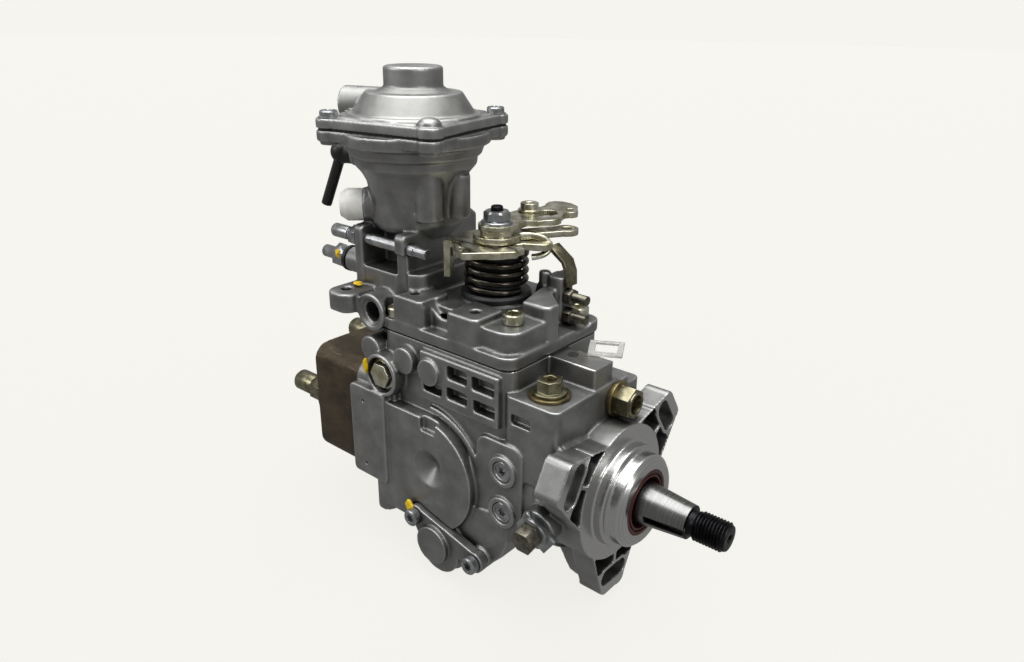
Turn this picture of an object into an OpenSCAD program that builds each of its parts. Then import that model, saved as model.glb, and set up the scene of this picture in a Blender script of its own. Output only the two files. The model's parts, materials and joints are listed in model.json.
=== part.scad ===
// Rotary distributor injection pump with a boost pressure compensator.
// The origin is the centre of the pilot at the mounting face of the flange.
// +X runs along the drive shaft towards its thread, +Z is up, and -Y is the
// side with the name pad. All sizes are in millimetres.

/* [Mounting flange] */
// Radius of the pilot that centres the pump
pilot_r = 25; // [23:0.5:26]
// Length of the pilot in front of the mounting face
pilot_len = 5.5; // [4:0.5:8]
// Radius of the nose in front of the pilot
nose_r = 22.4; // [20:0.2:22.8]
// Distance from the mounting face to the end of the nose
nose_len = 13.4; // [12.5:0.1:15]
// Thickness of the flange lobes
flange_t = 13; // [10:1:14]
// Radius from the shaft axis to the middle of each slot
slot_pitch_r = 44.5; // [43:0.5:47]
// Width of the three adjusting slots
slot_w = 8.6; // [8:0.1:9]
// Distance between the two end centres of a slot
slot_travel = 12; // [8:1:14]
// Wall of metal outside each slot
slot_rim = 5.4; // [3.5:0.1:6]

/* [Drive shaft] */
// Radius of the drive shaft in its bush
shaft_r = 10; // [9.5:0.25:10.25]
// Distance from the mounting face to the small end of the taper
taper_end = 36; // [33:1:40]
// Radius at the small end of the taper
taper_r = 7.9; // [7.5:0.1:8.5]
// Outer radius of the shaft thread
thread_r = 7; // [6:0.5:7.25]
// Length of the shaft end with the thread
thread_len = 18; // [14:1:22]
// Outer radius of the shaft seal
seal_r = 15.8; // [15:0.1:17]

/* [Housing] */
// Outer radius of the main barrel
barrel_r = 37.5; // [37:0.5:39]
// Radius of the cam chamber inside the barrel
chamber_r = 32; // [31.5:0.25:33]
// Distance from the mounting face to the rear face of the housing
housing_len = 141; // [138:1:146]
// Half width of the governor chamber outside
upper_half_w = 35; // [34:0.5:37]
// Wall of the governor chamber
upper_wall = 7; // [5:0.5:8]
// Height of the cover joint above the shaft axis
joint_z = 60; // [59:0.5:63]
// Height of the name pad and of the side bulge in front of the wall
pad_rise = 7; // [5:0.5:9]

/* [Governor cover] */
// Length of the cover joint
cover_len = 84; // [82:1:88]
// Height of the cover deck above the joint
deck_h = 16; // [15:0.5:20]
// Thickness of the cover walls
cover_wall = 4; // [3:0.5:5]
// Thickness of the paper gasket
gasket_t = 0.8; // [0.5:0.1:1.2]

/* [Boost compensator] */
// Distance of the tower axis behind the mounting face
tower_back = 132; // [130:0.5:136]
// Outer radius of the tower
tower_r = 24; // [23:0.5:25]
// Height of the diaphragm joint above the shaft axis
diaphragm_z = 153.5; // [150:0.5:158]
// Distance from the tower axis to each cover screw
boost_screw_r = 41; // [40:0.5:44]
// Turn of the square cover about the tower axis
boost_turn = 11; // [0:1:45]
// Radius of the round cap on top of the cover
cap_r = 14.4; // [12:0.2:17]
// Travel of the boost pin
boost_travel = 5; // [3:0.5:6]

/* [Throttle] */
// Distance of the throttle shaft behind the mounting face
throttle_back = 80; // [79:0.5:83]
// Distance of the throttle shaft beyond the drive shaft axis
throttle_side = 2; // [0:0.5:4]
// Radius of the throttle shaft
throttle_r = 5; // [4:0.25:5.5]
// Mean radius of the return spring
spring_r = 14.2; // [13:0.2:15]
// Radius of the return spring's wire
spring_wire_r = 1.6; // [1:0.1:1.8]
// Number of turns of the return spring
spring_turns = 4; // [3:1:6]
// Thickness of the lever plates
lever_t = 3; // [2:0.5:4]

/* [Distributor head] */
// Length of the distributor head
head_len = 36.5; // [30:0.5:38]
// Half width of the distributor head
head_half_w = 38; // [37.5:0.5:40]
// Radius of the plunger
plunger_r = 5.5; // [5:0.25:6]
// Number of delivery outlets
outlet_count = 3; // [2:1:4]
// Radius of the circle of outlets
outlet_pitch_r = 28; // [26:0.5:28]
// Height of the stop solenoid above its seat
solenoid_h = 30; // [26:1:36]

/* [Timing device] */
// Distance of the timing piston axis behind the mounting face
timing_back = 77.5; // [77:0.5:78]
// Distance of the timing piston axis below the shaft axis
timing_drop = 44.5; // [44.5:0.25:47]
// Radius of the timing piston
piston_r = 10; // [9.5:0.25:10]
// Turn of the roller ring from full retard to full advance
ring_turn = 12; // [8:1:12]
// Half length of the timing housing
timing_half_w = 40; // [39.5:0.5:44]

/* [Governor] */
// Teeth of the gear on the drive shaft
drive_teeth = 34; // [34]
// Teeth of the governor gear
governor_teeth = 20; // [20]
// Gear module
gear_module = 1.5; // [1.45:0.05:1.5]
// Radius of the governor shaft
governor_shaft_r = 4; // [3:0.25:4.5]
// Radial clearance of shafts, pistons and plungers in their bores
fit = 0.03; // [0.02:0.01:0.05]
// Gap between moving pieces that don't touch
gap = 0.4; // [0.3:0.05:0.5]

/* [Hidden] */
$fn = 48;
eps = 0.01;

// Stations along the shaft
rear_x = -housing_len;
barrel_front_x = -44;
pump_front_x = -24;
pump_ring_w = 12;
pump_plate_t = 4;
pump_chamber_r = 31;
upper_front_x = -40;
upper_rear_x = upper_front_x - cover_len;
gear_x = -45.2;
gear_w = 7;
cage_len = 15;
seal_front_x = nose_len - 0.4;
seal_w = 7;
bush_r = 12;
bush_len = 26;
undercut_r = thread_r - 1.1;

// Heights
deck_z = joint_z + gasket_t + deck_h;
cover_z = joint_z + gasket_t;
governor_z = gear_module * (drive_teeth + governor_teeth) / 2;
tower_x = -tower_back;
throttle_x = -throttle_back;
timing_x = -timing_back;
timing_z = -timing_drop;
wall_y = -upper_half_w;
pad_y = wall_y - pad_rise;
lobe_angles = [151, 35, -93];
lobe_r = slot_w / 2 + slot_rim;

// Basic shapes between named stations
module rod_x(x0, x1, r, y = 0, z = 0)
    translate([min(x0, x1), y, z]) rotate([0, 90, 0]) cylinder(h = abs(x1 - x0), r = r);
module rod_y(y0, y1, r, x = 0, z = 0)
    translate([x, min(y0, y1), z]) rotate([-90, 0, 0]) cylinder(h = abs(y1 - y0), r = r);
module rod_z(z0, z1, r, x = 0, y = 0)
    translate([x, y, min(z0, z1)]) cylinder(h = abs(z1 - z0), r = r);
module block(x, y, z)
    translate([x[0], y[0], z[0]]) cube([x[1] - x[0], y[1] - y[0], z[1] - z[0]]);
module plate_x(x0, x1)
    translate([x0, 0, 0]) rotate([90, 0, 90]) linear_extrude(x1 - x0) children();
module plate_y(y0, y1)
    translate([0, y1, 0]) rotate([90, 0, 0]) linear_extrude(y1 - y0) children();
module plate_z(z0, z1)
    translate([0, 0, z0]) linear_extrude(z1 - z0) children();
// A rectangle between two corners, with round corners
module round_rect(a, b, r) {
    translate([a[0] + r, a[1]]) square([b[0] - a[0] - 2 * r, b[1] - a[1]]);
    translate([a[0], a[1] + r]) square([b[0] - a[0], b[1] - a[1] - 2 * r]);
    for (x = [a[0] + r, b[0] - r], y = [a[1] + r, b[1] - r]) translate([x, y]) circle(r);
}
// Two round ends joined by a straight middle, along X
module stadium(half, r) {
    square([2 * half, 2 * r], center = true);
    for (s = [-1, 1]) translate([s * half, 0]) circle(r);
}
module hex_rod_x(x0, x1, across, y = 0, z = 0)
    translate([x0, y, z]) rotate([0, 90, 0])
        cylinder(h = x1 - x0, r = across / sqrt(3), $fn = 6);
// A socket head screw that stands on z = 0 with its shank below
module socket_screw(head_r, head_h, shank_r, shank_len) {
    difference() {
        cylinder(h = head_h, r = head_r);
        translate([0, 0, head_h * 0.4]) cylinder(h = head_h, r = head_r * 0.55, $fn = 6);
    }
    translate([0, 0, -shank_len]) cylinder(h = shank_len + eps, r = shank_r);
}
// A round wire wound into a coil that stands on z = 0
module coil(r, wire, turns, height, steps = 20, sides = 8) {
    n = turns * steps;
    rings = [for (i = [0:n]) let (a = 360 * i / steps, z = wire + (height - 2 * wire) * i / n)
        for (k = [0:sides - 1]) let (b = 360 * k / sides)
            [(r + wire * cos(b)) * cos(a), (r + wire * cos(b)) * sin(a), z + wire * sin(b)]];
    walls = [for (i = [0:n - 1], k = [0:sides - 1])
        let (p = i * sides + k, q = i * sides + (k + 1) % sides)
            [p, p + sides, q + sides, q]];
    ends = [[for (k = [0:sides - 1]) k], [for (k = [sides - 1:-1:0]) n * sides + k]];
    polyhedron(points = rings, faces = concat(walls, ends));
}
// One side of an involute tooth: points from the root to the tip
function involute(base_r, r) = let (t = sqrt(max(0, pow(r / base_r, 2) - 1)) * 180 / PI)
    t - atan(t * PI / 180);
module gear_outline(teeth, thin = 0.12) {
    pitch_r = gear_module * teeth / 2;
    base_r = pitch_r * cos(20);
    root_r = pitch_r - 1.25 * gear_module;
    tip_r = pitch_r + 0.9 * gear_module;
    half = 90 / teeth - thin / pitch_r * 90 / PI + involute(base_r, pitch_r);
    radii = [for (i = [0:4]) max(base_r, root_r) + (tip_r - max(base_r, root_r)) * i / 4];
    circle(root_r + eps, $fn = 2 * teeth);
    for (k = [0:teeth - 1]) rotate(360 * k / teeth) polygon(concat(
        [[0, 0], (root_r - 0.3) * [cos(half), -sin(half)]],
        [for (r = radii) let (a = half - involute(base_r, r)) r * [cos(a), -sin(a)]],
        [for (i = [4:-1:0]) let (r = radii[i], a = half - involute(base_r, r))
            r * [cos(a), sin(a)]],
        [(root_r - 0.3) * [cos(half), sin(half)]]));
}

// Pump housing
inlet_top_z = 50;
inlet_x = -27;
inlet_y = -23;
valve_y = 10;
valve_z = 41;
valve_face_x = -13;
block_x = [-41.5, -14.5];
block_y = [-6.5, 8];
plug_x = rear_x + 23;
plug_z = 38;
plug_ring_r = 11.2;
plug_r = 7;
bulge_x = -89;
bulge_z = -7;
bulge_r = 31;
access_x = -41;
access_z = [12, -10];
access_r = 5.4;
lock_x = -18.6;
lock_tilt = 10;
lock_r = 5;
timing_wall = 4.5;
timing_screw_at = [[-93, -32], [-53.5, -41.5]];
timing_boss_r = 5.6;
head_screw_at = [[-31, 29], [34.5, 9], [-31, -21], [31, -21]];
cover_screw_at = [[-50, 30], [-51.5, -19], [-112, 30], [-117, -30]];
cover_screw_seat = [6, 16, 6, 6];

lobe_corner_r = 3.5;
lobe_half = slot_travel / 2 + slot_w / 2 + 2.2;
lobe_top = slot_pitch_r + slot_w / 2 + slot_rim;
module lobe_outline() for (a = lobe_angles) rotate(a) {
    polygon([[0, -26], [18, -23.5], [slot_pitch_r, -lobe_half],
        [lobe_top - lobe_corner_r + 1.2, -lobe_half + 3.2], [lobe_top - lobe_corner_r + 1.2,
        lobe_half - 3.2], [slot_pitch_r, lobe_half], [18, 23.5], [0, 26]]);
    translate([lobe_top - lobe_corner_r, 0]) square([2 * lobe_corner_r, 2 * (lobe_half - 6)],
        center = true);
    for (s = [-1, 1]) translate([lobe_top - lobe_corner_r, s * (lobe_half - 6)])
        circle(lobe_corner_r);
}
module slot_outline(grow = 0) translate([slot_pitch_r, 0]) rotate(90)
    stadium(slot_travel / 2, slot_w / 2 + grow);
module flange() {
    rib_t = 2;
    difference() {
        union() {
            plate_x(-flange_t, 0) { lobe_outline(); circle(30); }
            // Arms that thicken the lobes towards the housing
            for (a = lobe_angles) rotate([a, 0, 0]) for (s = [-1, 1])
                plate_z(s * (lobe_half - 1.8) - 2.4, s * (lobe_half - 1.8) + 2.4)
                    polygon([[-flange_t + 1, 24], [-flange_t + 1, slot_pitch_r + 1],
                        [-flange_t - 4, slot_pitch_r], [-25, 34], [-25, 24]]);
            // Top of the flange, which runs back to the housing
            plate_x(-23, -flange_t + 1) polygon([[0, 0], [-27, 18], [-36, 28], [-31, 33.3],
                [-5.8, 30], [5.8, 30], [31, 33.3], [36, 28], [27, 18]]);
        }
        // Adjusting slots
        for (a = lobe_angles) rotate([a, 0, 0]) translate([-flange_t - 20, 0, 0])
            rotate([90, 0, 90]) linear_extrude(flange_t + 21) slot_outline();
        // Cored pockets between the pilot and each slot
        for (a = lobe_angles) rotate([a, 0, 0]) translate([-9, 0, 0]) rotate([90, 0, 90])
            linear_extrude(10) difference() {
                polygon([[pilot_r - 6, -21.5], [39.8, -14], [39.8, 14],
                    [pilot_r - 6, 21.5]]);
                circle(pilot_r + 1.5);
                slot_outline(1.8);
                translate([0, -rib_t / 2]) square([60, rib_t]);
            }
    }
}
module side_pockets() {
    for (p = [[-76, -63.5, 48, 54.5], [-60.5, -47, 47.5, 54], [-92, -80, 37, 42],
        [-76.5, -63.5, 37.5, 43.5], [-59.5, -46.5, 36.5, 42.5]])
        block([p[0], p[1]], [wall_y - 4, wall_y + 2.6], [p[2], p[3]]);
    block([-38.5, -27.5], [wall_y - 4, wall_y + 2], [37, 42]);
    for (p = [[-75, -62, 36, 52], [-59, -46, 36, 52], [-105, -92, 36, 52]])
        block([p[0], p[1]], [-wall_y - 3.5, -wall_y + 4], [p[2], p[3]]);
}
module bulge() {
    intersection() {
        plate_y(pad_y, wall_y + 8) {
            translate([bulge_x, bulge_z]) circle(bulge_r);
            translate([bulge_x - 33, bulge_z - bulge_r]) square([33, 2 * bulge_r]);
        }
        rod_y(pad_y, wall_y + 8, 39, x = bulge_x - 5, z = bulge_z);
    }
    // Outer ridge that frames the bulge
    intersection() {
        plate_y(wall_y - 2.5, wall_y + 8) difference() {
            translate([bulge_x, bulge_z]) circle(bulge_r + 5);
            translate([bulge_x, bulge_z]) circle(bulge_r + 2.4);
        }
        block([bulge_x, bulge_x + 60], [pad_y, 0], [bulge_z - 20, 40]);
    }
}
module housing_body() {
    flange();
    rod_x(-30, 0, 33.5);
    rod_x(-46, -20, 36);
    rod_x(rear_x, -42, barrel_r);
    // Pilot and nose
    rod_x(-1, pilot_len, pilot_r);
    rod_x(0, nose_len - 2.4, nose_r);
    translate([nose_len - 2.4, 0, 0]) rotate([0, 90, 0])
        cylinder(h = 2.4, r1 = nose_r, r2 = nose_r - 2.4);
    // Governor chamber
    plate_z(0, joint_z) round_rect([upper_rear_x, wall_y], [upper_front_x, -wall_y], 7);
    plate_z(0, joint_z - 4) round_rect([rear_x + 6, -29], [-60, 29], 7);
    block([-94, -44.5], [wall_y - 3, -30], [32, joint_z - 2.5]);
    // Front blocks: inlet seat, machined land and valve boss
    plate_z(10, inlet_top_z) round_rect([-43, -36], [-13.2, 12], 4);
    block(block_x, block_y, [10, joint_z]);
    block([-42, valve_face_x], [0, 20], [15, valve_z + 8]);
    plate_z(0, 44) round_rect([-46, 8], [-14, 33], 4);
    // Rear block that the head bolts to
    plate_x(rear_x, rear_x + 29) round_rect([-39, -33], [39, 37], 9);
    bulge();
    // Name pad
    plate_y(pad_y - 2, -30) round_rect([rear_x, -24], [rear_x + 26, 28], 3);
    rod_y(pad_y - 1, -20, plug_ring_r, x = plug_x, z = plug_z);
    for (p = [[-104, 49], [-87, 48]]) rod_y(wall_y - 5, -20, 6.8, x = p[0], z = p[1]);
    rod_y(wall_y - 4, -20, 6.8, x = rear_x + 12, z = 48);
    rod_z(-42, -20, 6, x = rear_x + 19.5, y = -37);
    // Access plug bosses and the front wall between them
    plate_y(-37.5, -20) round_rect([-58, -26], [-30, 26], 6);
    for (z = access_z) rod_y(-39.5, -20, access_r + 2.6, x = access_x, z = z);
    // Boss of the shaft lock bolt
    rotate([lock_tilt, 0, 0]) rod_y(-41, -20, 9, x = lock_x);
    // Timing device housing
    rod_y(-timing_half_w, timing_half_w, piston_r + timing_wall, x = timing_x, z = timing_z);
    plate_y(-timing_half_w + 1.5, timing_half_w - 1.5) polygon([[-96, -20], [-38, -12],
        [-37.5, -26], [-41, -36], [-53, -48.5], [-60, -53], [-77, -56], [-90, -46],
        [-97, -36]]);
    for (p = timing_screw_at) rod_y(-timing_half_w, timing_half_w, timing_boss_r,
        x = p[0], z = p[1]);
}
module pump_housing() color("silver") difference() {
    housing_body();
    side_pockets();
    // Shaft bore, seal seat and bush seat
    rod_x(-30, 20, shaft_r + 0.6);
    rod_x(seal_front_x - seal_w, nose_len + 1, seal_r);
    rod_x(seal_front_x - seal_w - bush_len, seal_front_x - seal_w + eps, bush_r);
    // Feed pump chamber, cam chamber and governor chamber
    rod_x(barrel_front_x - 1, pump_front_x, pump_chamber_r);
    rod_x(rear_x - 1, barrel_front_x, chamber_r);
    difference() {
        plate_z(0, joint_z + 1) round_rect([upper_rear_x + 5, wall_y + upper_wall],
            [barrel_front_x, -wall_y - upper_wall], 4);
        // Boss of the near front cover screw, joined to the wall
        union() {
            rod_z(joint_z - 3, joint_z + 2, 5.5, x = cover_screw_at[1][0],
                y = cover_screw_at[1][1]);
            block([cover_screw_at[1][0] - 4, cover_screw_at[1][0] + 4],
                [-32, cover_screw_at[1][1]], [joint_z - 3, joint_z + 2]);
        }
    }
    // Seat of the timing cover in the bulge
    plate_y(-timing_half_w - 20, -timing_half_w) timing_plate(timing_screw_at, 0.4);
    // Timing bore and the slot for the ring pin
    rod_y(-timing_half_w - 1, timing_half_w + 1, piston_r + fit, x = timing_x, z = timing_z);
    block([timing_x - 3.4, timing_x + 3.4], [-8, 8], [timing_z, -chamber_r + 4]);
    // Threaded holes and plug seats
    rod_z(inlet_top_z - 12, inlet_top_z + 1, 6, x = inlet_x, y = inlet_y);
    rod_x(valve_face_x - 18, valve_face_x + 1, 5, y = valve_y, z = valve_z);
    rod_y(pad_y - 2, pad_y + 4, plug_r + 2.2, x = plug_x, z = plug_z);
    rod_y(pad_y - 2, pad_y + 12, plug_r - 1, x = plug_x, z = plug_z);
    for (z = access_z) rod_y(-41, -33, access_r, x = access_x, z = z);
    rotate([lock_tilt, 0, 0]) rod_y(-42, -shaft_r - 2, lock_r, x = lock_x);
    for (p = timing_screw_at) for (s = [-1, 1])
        rod_y(s * (timing_half_w - 12), s * (timing_half_w + 1), 2.5, x = p[0], z = p[1]);
    for (p = head_screw_at) rod_x(rear_x - 1, rear_x + 14, 3, y = p[0], z = p[1]);
    for (p = cover_screw_at) rod_z(joint_z - 5, joint_z + 1, 3, x = p[0], y = p[1]);
    rod_x(barrel_front_x - 1, upper_front_x - 1, governor_shaft_r, z = governor_z);
    rod_y(wall_y + 1, -wall_y - 1, pivot_r + fit, x = pivot_x, z = pivot_z);
    // Conical dimple and small square pocket of the bulge
    translate([-86, pad_y - eps, -3]) rotate([-90, 0, 0]) cylinder(h = 6, r1 = 10, r2 = 1.5);
    block([-91, -81], [pad_y - 1, pad_y + 3], [17, 24]);
    for (z = [20, -17]) rod_y(pad_y - 3, pad_y, 0.9, x = rear_x + 10, z = z);
}
module shaft_bush() color("tan") difference() {
    rod_x(seal_front_x - seal_w - bush_len, seal_front_x - seal_w - 1, bush_r);
    rod_x(-30, 20, shaft_r + fit);
}
module shaft_seal() color("saddlebrown") difference() {
    rod_x(seal_front_x - seal_w, seal_front_x, seal_r);
    rod_x(-10, 20, shaft_r + 2.4);
    difference() {
        rod_x(seal_front_x - 1.2, 20, seal_r - 1.6);
        rod_x(seal_front_x - 1.3, 21, shaft_r + 3.4);
    }
}

// Drive train
claw_x = -62;
disc_t = 3;
ring_x = [-83, -72];
cam_front_x = -87.4;
cam_t = 4.5;
foot_x = cam_front_x - cam_t;
module drive_shaft() color("gainsboro") difference() {
    union() {
        rod_x(claw_x, seal_front_x + 1, shaft_r);
        translate([seal_front_x + 1, 0, 0]) rotate([0, 90, 0])
            cylinder(h = taper_end - seal_front_x - 1, r1 = shaft_r, r2 = taper_r);
        rod_x(taper_end - 1, taper_end + 2.5, undercut_r);
        rod_x(taper_end + 2.4, taper_end + thread_len - 1.2, thread_r);
        translate([taper_end + thread_len - 1.2, 0, 0]) rotate([0, 90, 0])
            cylinder(h = 1.2, r1 = thread_r, r2 = thread_r - 1.2);
        // Claws that drive the cross disc
        for (s = [-1, 1]) block([claw_x - 4, claw_x + 1], [s * 7 - 2.5, s * 7 + 2.5], [-4, 4]);
    }
    // Key slot, open at the small end of the taper
    rotate([-148, 0, 0]) block([17, taper_end + 1], [6, 12], [-2, 2]);
    rod_x(taper_end + thread_len - 4, taper_end + thread_len + 1, 2);
}
module feed_pump_ring() color("dimgray") difference() {
    rod_x(pump_front_x - pump_ring_w, pump_front_x, pump_chamber_r);
    rod_x(pump_front_x - pump_ring_w - 1, pump_front_x + 1, 22.5, z = 1.8);
}
module feed_pump_plate() color("gray") difference() {
    rod_x(pump_front_x - pump_ring_w - pump_plate_t, pump_front_x - pump_ring_w, pump_chamber_r);
    rod_x(-45, -20, shaft_r + 1);
}
module feed_rotor() color("slategray") {
    x0 = pump_front_x - pump_ring_w + gap;
    x1 = pump_front_x - gap;
    difference() {
        rod_x(x0, x1, 19.2);
        rod_x(x0 - 1, x1 + 1, shaft_r);
        for (a = [0:90:270]) rotate([a, 0, 0]) block([x0 - 1, x1 + 1], [13, 20], [-1.1, 1.1]);
    }
    // Sliding vanes, at their mean reach
    for (a = [0:90:270]) rotate([a, 0, 0]) block([x0, x1], [13.4, 20.4], [-1.05, 1.05]);
}
module drive_gear() color("darkgray") difference() {
    plate_x(gear_x - gear_w, gear_x) rotate(90 + 180 / drive_teeth)
        gear_outline(drive_teeth);
    rod_x(gear_x - gear_w - 1, gear_x + 1, shaft_r);
}
module cam_plate() color("darkgray") {
    // Cross disc and its shank, which join the claws to the cam plate
    difference() {
        union() {
            rod_x(claw_x - 4 - disc_t, claw_x - 4, 12);
            rod_x(cam_front_x - cam_t + 1, claw_x - 4 - disc_t + 1, 8);
            rod_x(foot_x, cam_front_x, 28);
        }
        for (a = [15:30:345]) rotate([a, 0, 0])
            rod_x(foot_x - 1, cam_front_x + 1, 2.4, y = 15);
    }
    // Low cam lobes on the rim, one for each outlet
    for (k = [0:outlet_count - 1]) rotate([360 * k / outlet_count + 30, 0, 0])
        intersection() {
            plate_x(cam_front_x - 1, cam_front_x + 1.5) difference() {
                circle(27.6);
                circle(21.5);
            }
            rod_z(20, 30, 8.8, x = cam_front_x - 8);
        }
}
module plunger() color("lightsteelblue") {
    rod_x(foot_x - 3, foot_x, 9);
    rod_x(rear_x - head_len + 9, foot_x - 2, plunger_r);
}
module roller_ring() color("dimgray") {
    lean = asin(timing_rest / timing_drop);
    difference() {
        rod_x(ring_x[0], ring_x[1], chamber_r - 0.06);
        rod_x(ring_x[0] - 1, ring_x[1] + 1, 19);
        for (k = [0:3]) rotate([45 + 90 * k, 0, 0])
            rod_y(20.6, 29.4, 4.6, x = ring_x[0] + 1.5);
    }
    for (k = [0:3]) rotate([45 + 90 * k, 0, 0]) {
        rod_y(20.9, 29.1, 4.2, x = ring_x[0] + 1.5);
        rod_y(19.5, 31, 1.6, x = ring_x[0] + 1.5);
    }
    rotate([-lean, 0, 0]) rod_z(-timing_drop - 1, -26, pin_r, x = timing_x);
}

// Timing device
pin_r = 2.5;
timing_rest = timing_drop * sin(ring_turn / 2);
piston_y = [-timing_half_w + 4, 15];
piston_seat_y = 2;
timing_spring_y = piston_seat_y + 2 * timing_rest + 0.6;
cover_t = 5;
module timing_piston() color("lightsteelblue") difference() {
    rod_y(piston_y[0], piston_y[1], piston_r, x = timing_x, z = timing_z);
    // Opening for the ring pin, wide enough for its lean
    translate([timing_x, -timing_rest, timing_z - 3.5])
        cylinder(h = 30, r = pin_r + timing_drop * 0.3 * sin(ring_turn / 2) + 0.6);
    rod_y(piston_seat_y, piston_y[1] + 1, 7.4, x = timing_x, z = timing_z);
}
module timing_spring() color("dimgray")
    // Drawn at its shortest length, so the piston has its full travel
    translate([timing_x, timing_spring_y, timing_z]) rotate([-90, 0, 0])
        coil(5.4, 1, 6, timing_half_w + 0.2 - timing_spring_y, steps = 14, sides = 6);
module timing_plate(screws, grow = 0) {
    translate([timing_x, timing_z]) circle(piston_r + timing_wall - 1 + grow);
    for (p = screws) translate(p) circle(timing_boss_r + grow);
    hull() for (p = screws) translate(p) circle(timing_boss_r - 0.5 + grow, $fn = 32);
    hull() {
        translate([timing_x - 1, timing_z]) circle(10 + grow, $fn = 32);
        translate(screws[0]) circle(4 + grow, $fn = 32);
    }
}
module timing_cover() color("silver") difference() {
    union() {
        plate_y(-timing_half_w - cover_t, -timing_half_w) timing_plate(timing_screw_at);
        rod_y(-timing_half_w - cover_t - 3, -timing_half_w - 1, 10, x = timing_x - 2,
            z = timing_z + 2);
    }
    timing_screw_holes(-1);
}
module timing_screw_holes(s) for (p = timing_screw_at) {
    rod_y(s * (timing_half_w - 1), s * (timing_half_w + cover_t + 4), 2.5, x = p[0], z = p[1]);
    rod_y(s * (timing_half_w + cover_t), s * (timing_half_w + cover_t + 6), 4.8, x = p[0], z = p[1]);
}
module timing_rear_cover() color("silver") difference() {
    union() {
        plate_y(timing_half_w, timing_half_w + cover_t) timing_plate(timing_screw_at);
        rod_y(timing_half_w + 1, timing_half_w + cover_t + 2, 9, x = timing_x, z = timing_z);
    }
    timing_screw_holes(1);
}
module timing_cover_screws() color("khaki") for (p = timing_screw_at) for (s = [-1, 1])
    translate([p[0], s * (timing_half_w + cover_t), p[1]]) rotate([-90 * s, 0, 0])
        socket_screw(4.4, 4.2, 2.5, cover_t + 11);

// Governor
cage_x = gear_x - gear_w;
cage_plate_t = 1;
weight_x = cage_x - cage_plate_t - 0.3;
weight_len = 13.6;
weight_r = [12, 19];
toe_r = 4.6;
toe_len = 3.6;
sleeve_x = weight_x - toe_len - gap;
lever_face_x = -94.4;
pivot_x = -104;
pivot_z = 24;
pivot_r = 3;
collar_x = [-117, -108];
collar_r = 10;
ball = [-112.5, 9.4];
module governor_shaft() color("gainsboro")
    rod_x(cage_x - 36, barrel_front_x + 3, governor_shaft_r, z = governor_z);
module governor_cage() color("darkgray") difference() {
    union() {
        translate([0, 0, governor_z]) plate_x(cage_x, gear_x) gear_outline(governor_teeth);
        rod_x(cage_x - cage_plate_t, cage_x - 0.3, 20.5, z = governor_z);
        rod_x(cage_x - 0.5, cage_x + 0.2, 12.5, z = governor_z);
        translate([0, 0, governor_z]) for (a = [45:90:315]) rotate([a, 0, 0])
            intersection() {
                plate_x(cage_x - cage_len, cage_x) difference() { circle(20.5); circle(12); }
                plate_x(cage_x - cage_len, cage_x) polygon([[0, 0], [30, -5.2], [30, 5.2]]);
            }
    }
    rod_x(cage_x - 20, gear_x + 1, governor_shaft_r + fit, z = governor_z);
}
module flyweight(a) color("slategray") translate([0, 0, governor_z]) rotate([a, 0, 0])
    difference() {
        intersection() {
            plate_x(weight_x - weight_len, weight_x) difference() {
                circle(weight_r[1]);
                circle(toe_r);
            }
            plate_x(weight_x - weight_len, weight_x) polygon([[0, 0], [30, -16], [30, 16]]);
        }
        rod_x(weight_x - weight_len - 1, weight_x - toe_len, weight_r[0]);
    }
module flyweight_far() flyweight(0);
module flyweight_top() flyweight(90);
module flyweight_near() flyweight(180);
module flyweight_bottom() flyweight(270);
module governor_sleeve() color("lightsteelblue") difference() {
    union() {
        rod_x(sleeve_x - 2, sleeve_x, weight_r[0] - 1.5, z = governor_z);
        rod_x(lever_face_x + 4, sleeve_x, 6.4, z = governor_z);
        rod_x(lever_face_x + gap, lever_face_x + 5, 2.4, z = governor_z);
    }
    rod_x(lever_face_x + 5.5, sleeve_x + 1, governor_shaft_r + fit, z = governor_z);
}
module governor_lever() color("khaki") {
    plate_y(-4, 4) polygon([[lever_face_x, 54], [lever_face_x, 33], [-98, 28], [-100, 20],
        [-108.5, 17], [-110, 12.5], [-115, 12.5], [-115, 20], [-108, 29], [-101, 34],
        [-98.4, 54]]);
    rod_y(-8, 8, 6, x = pivot_x, z = pivot_z);
    rod_y(wall_y + 1.5, -wall_y - 1.5, pivot_r, x = pivot_x, z = pivot_z);
    translate([ball[0], 0, ball[1]]) sphere(1.8, $fn = 24);
    rod_z(ball[1], 13, 1.3, x = ball[0]);
}
module control_collar() color("lightsteelblue") difference() {
    rod_x(collar_x[0], collar_x[1], collar_r);
    rod_x(collar_x[0] - 1, collar_x[1] + 1, plunger_r + fit);
    rod_z(plunger_r + 0.6, collar_r + 1, 2.4, x = ball[0]);
}
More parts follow.
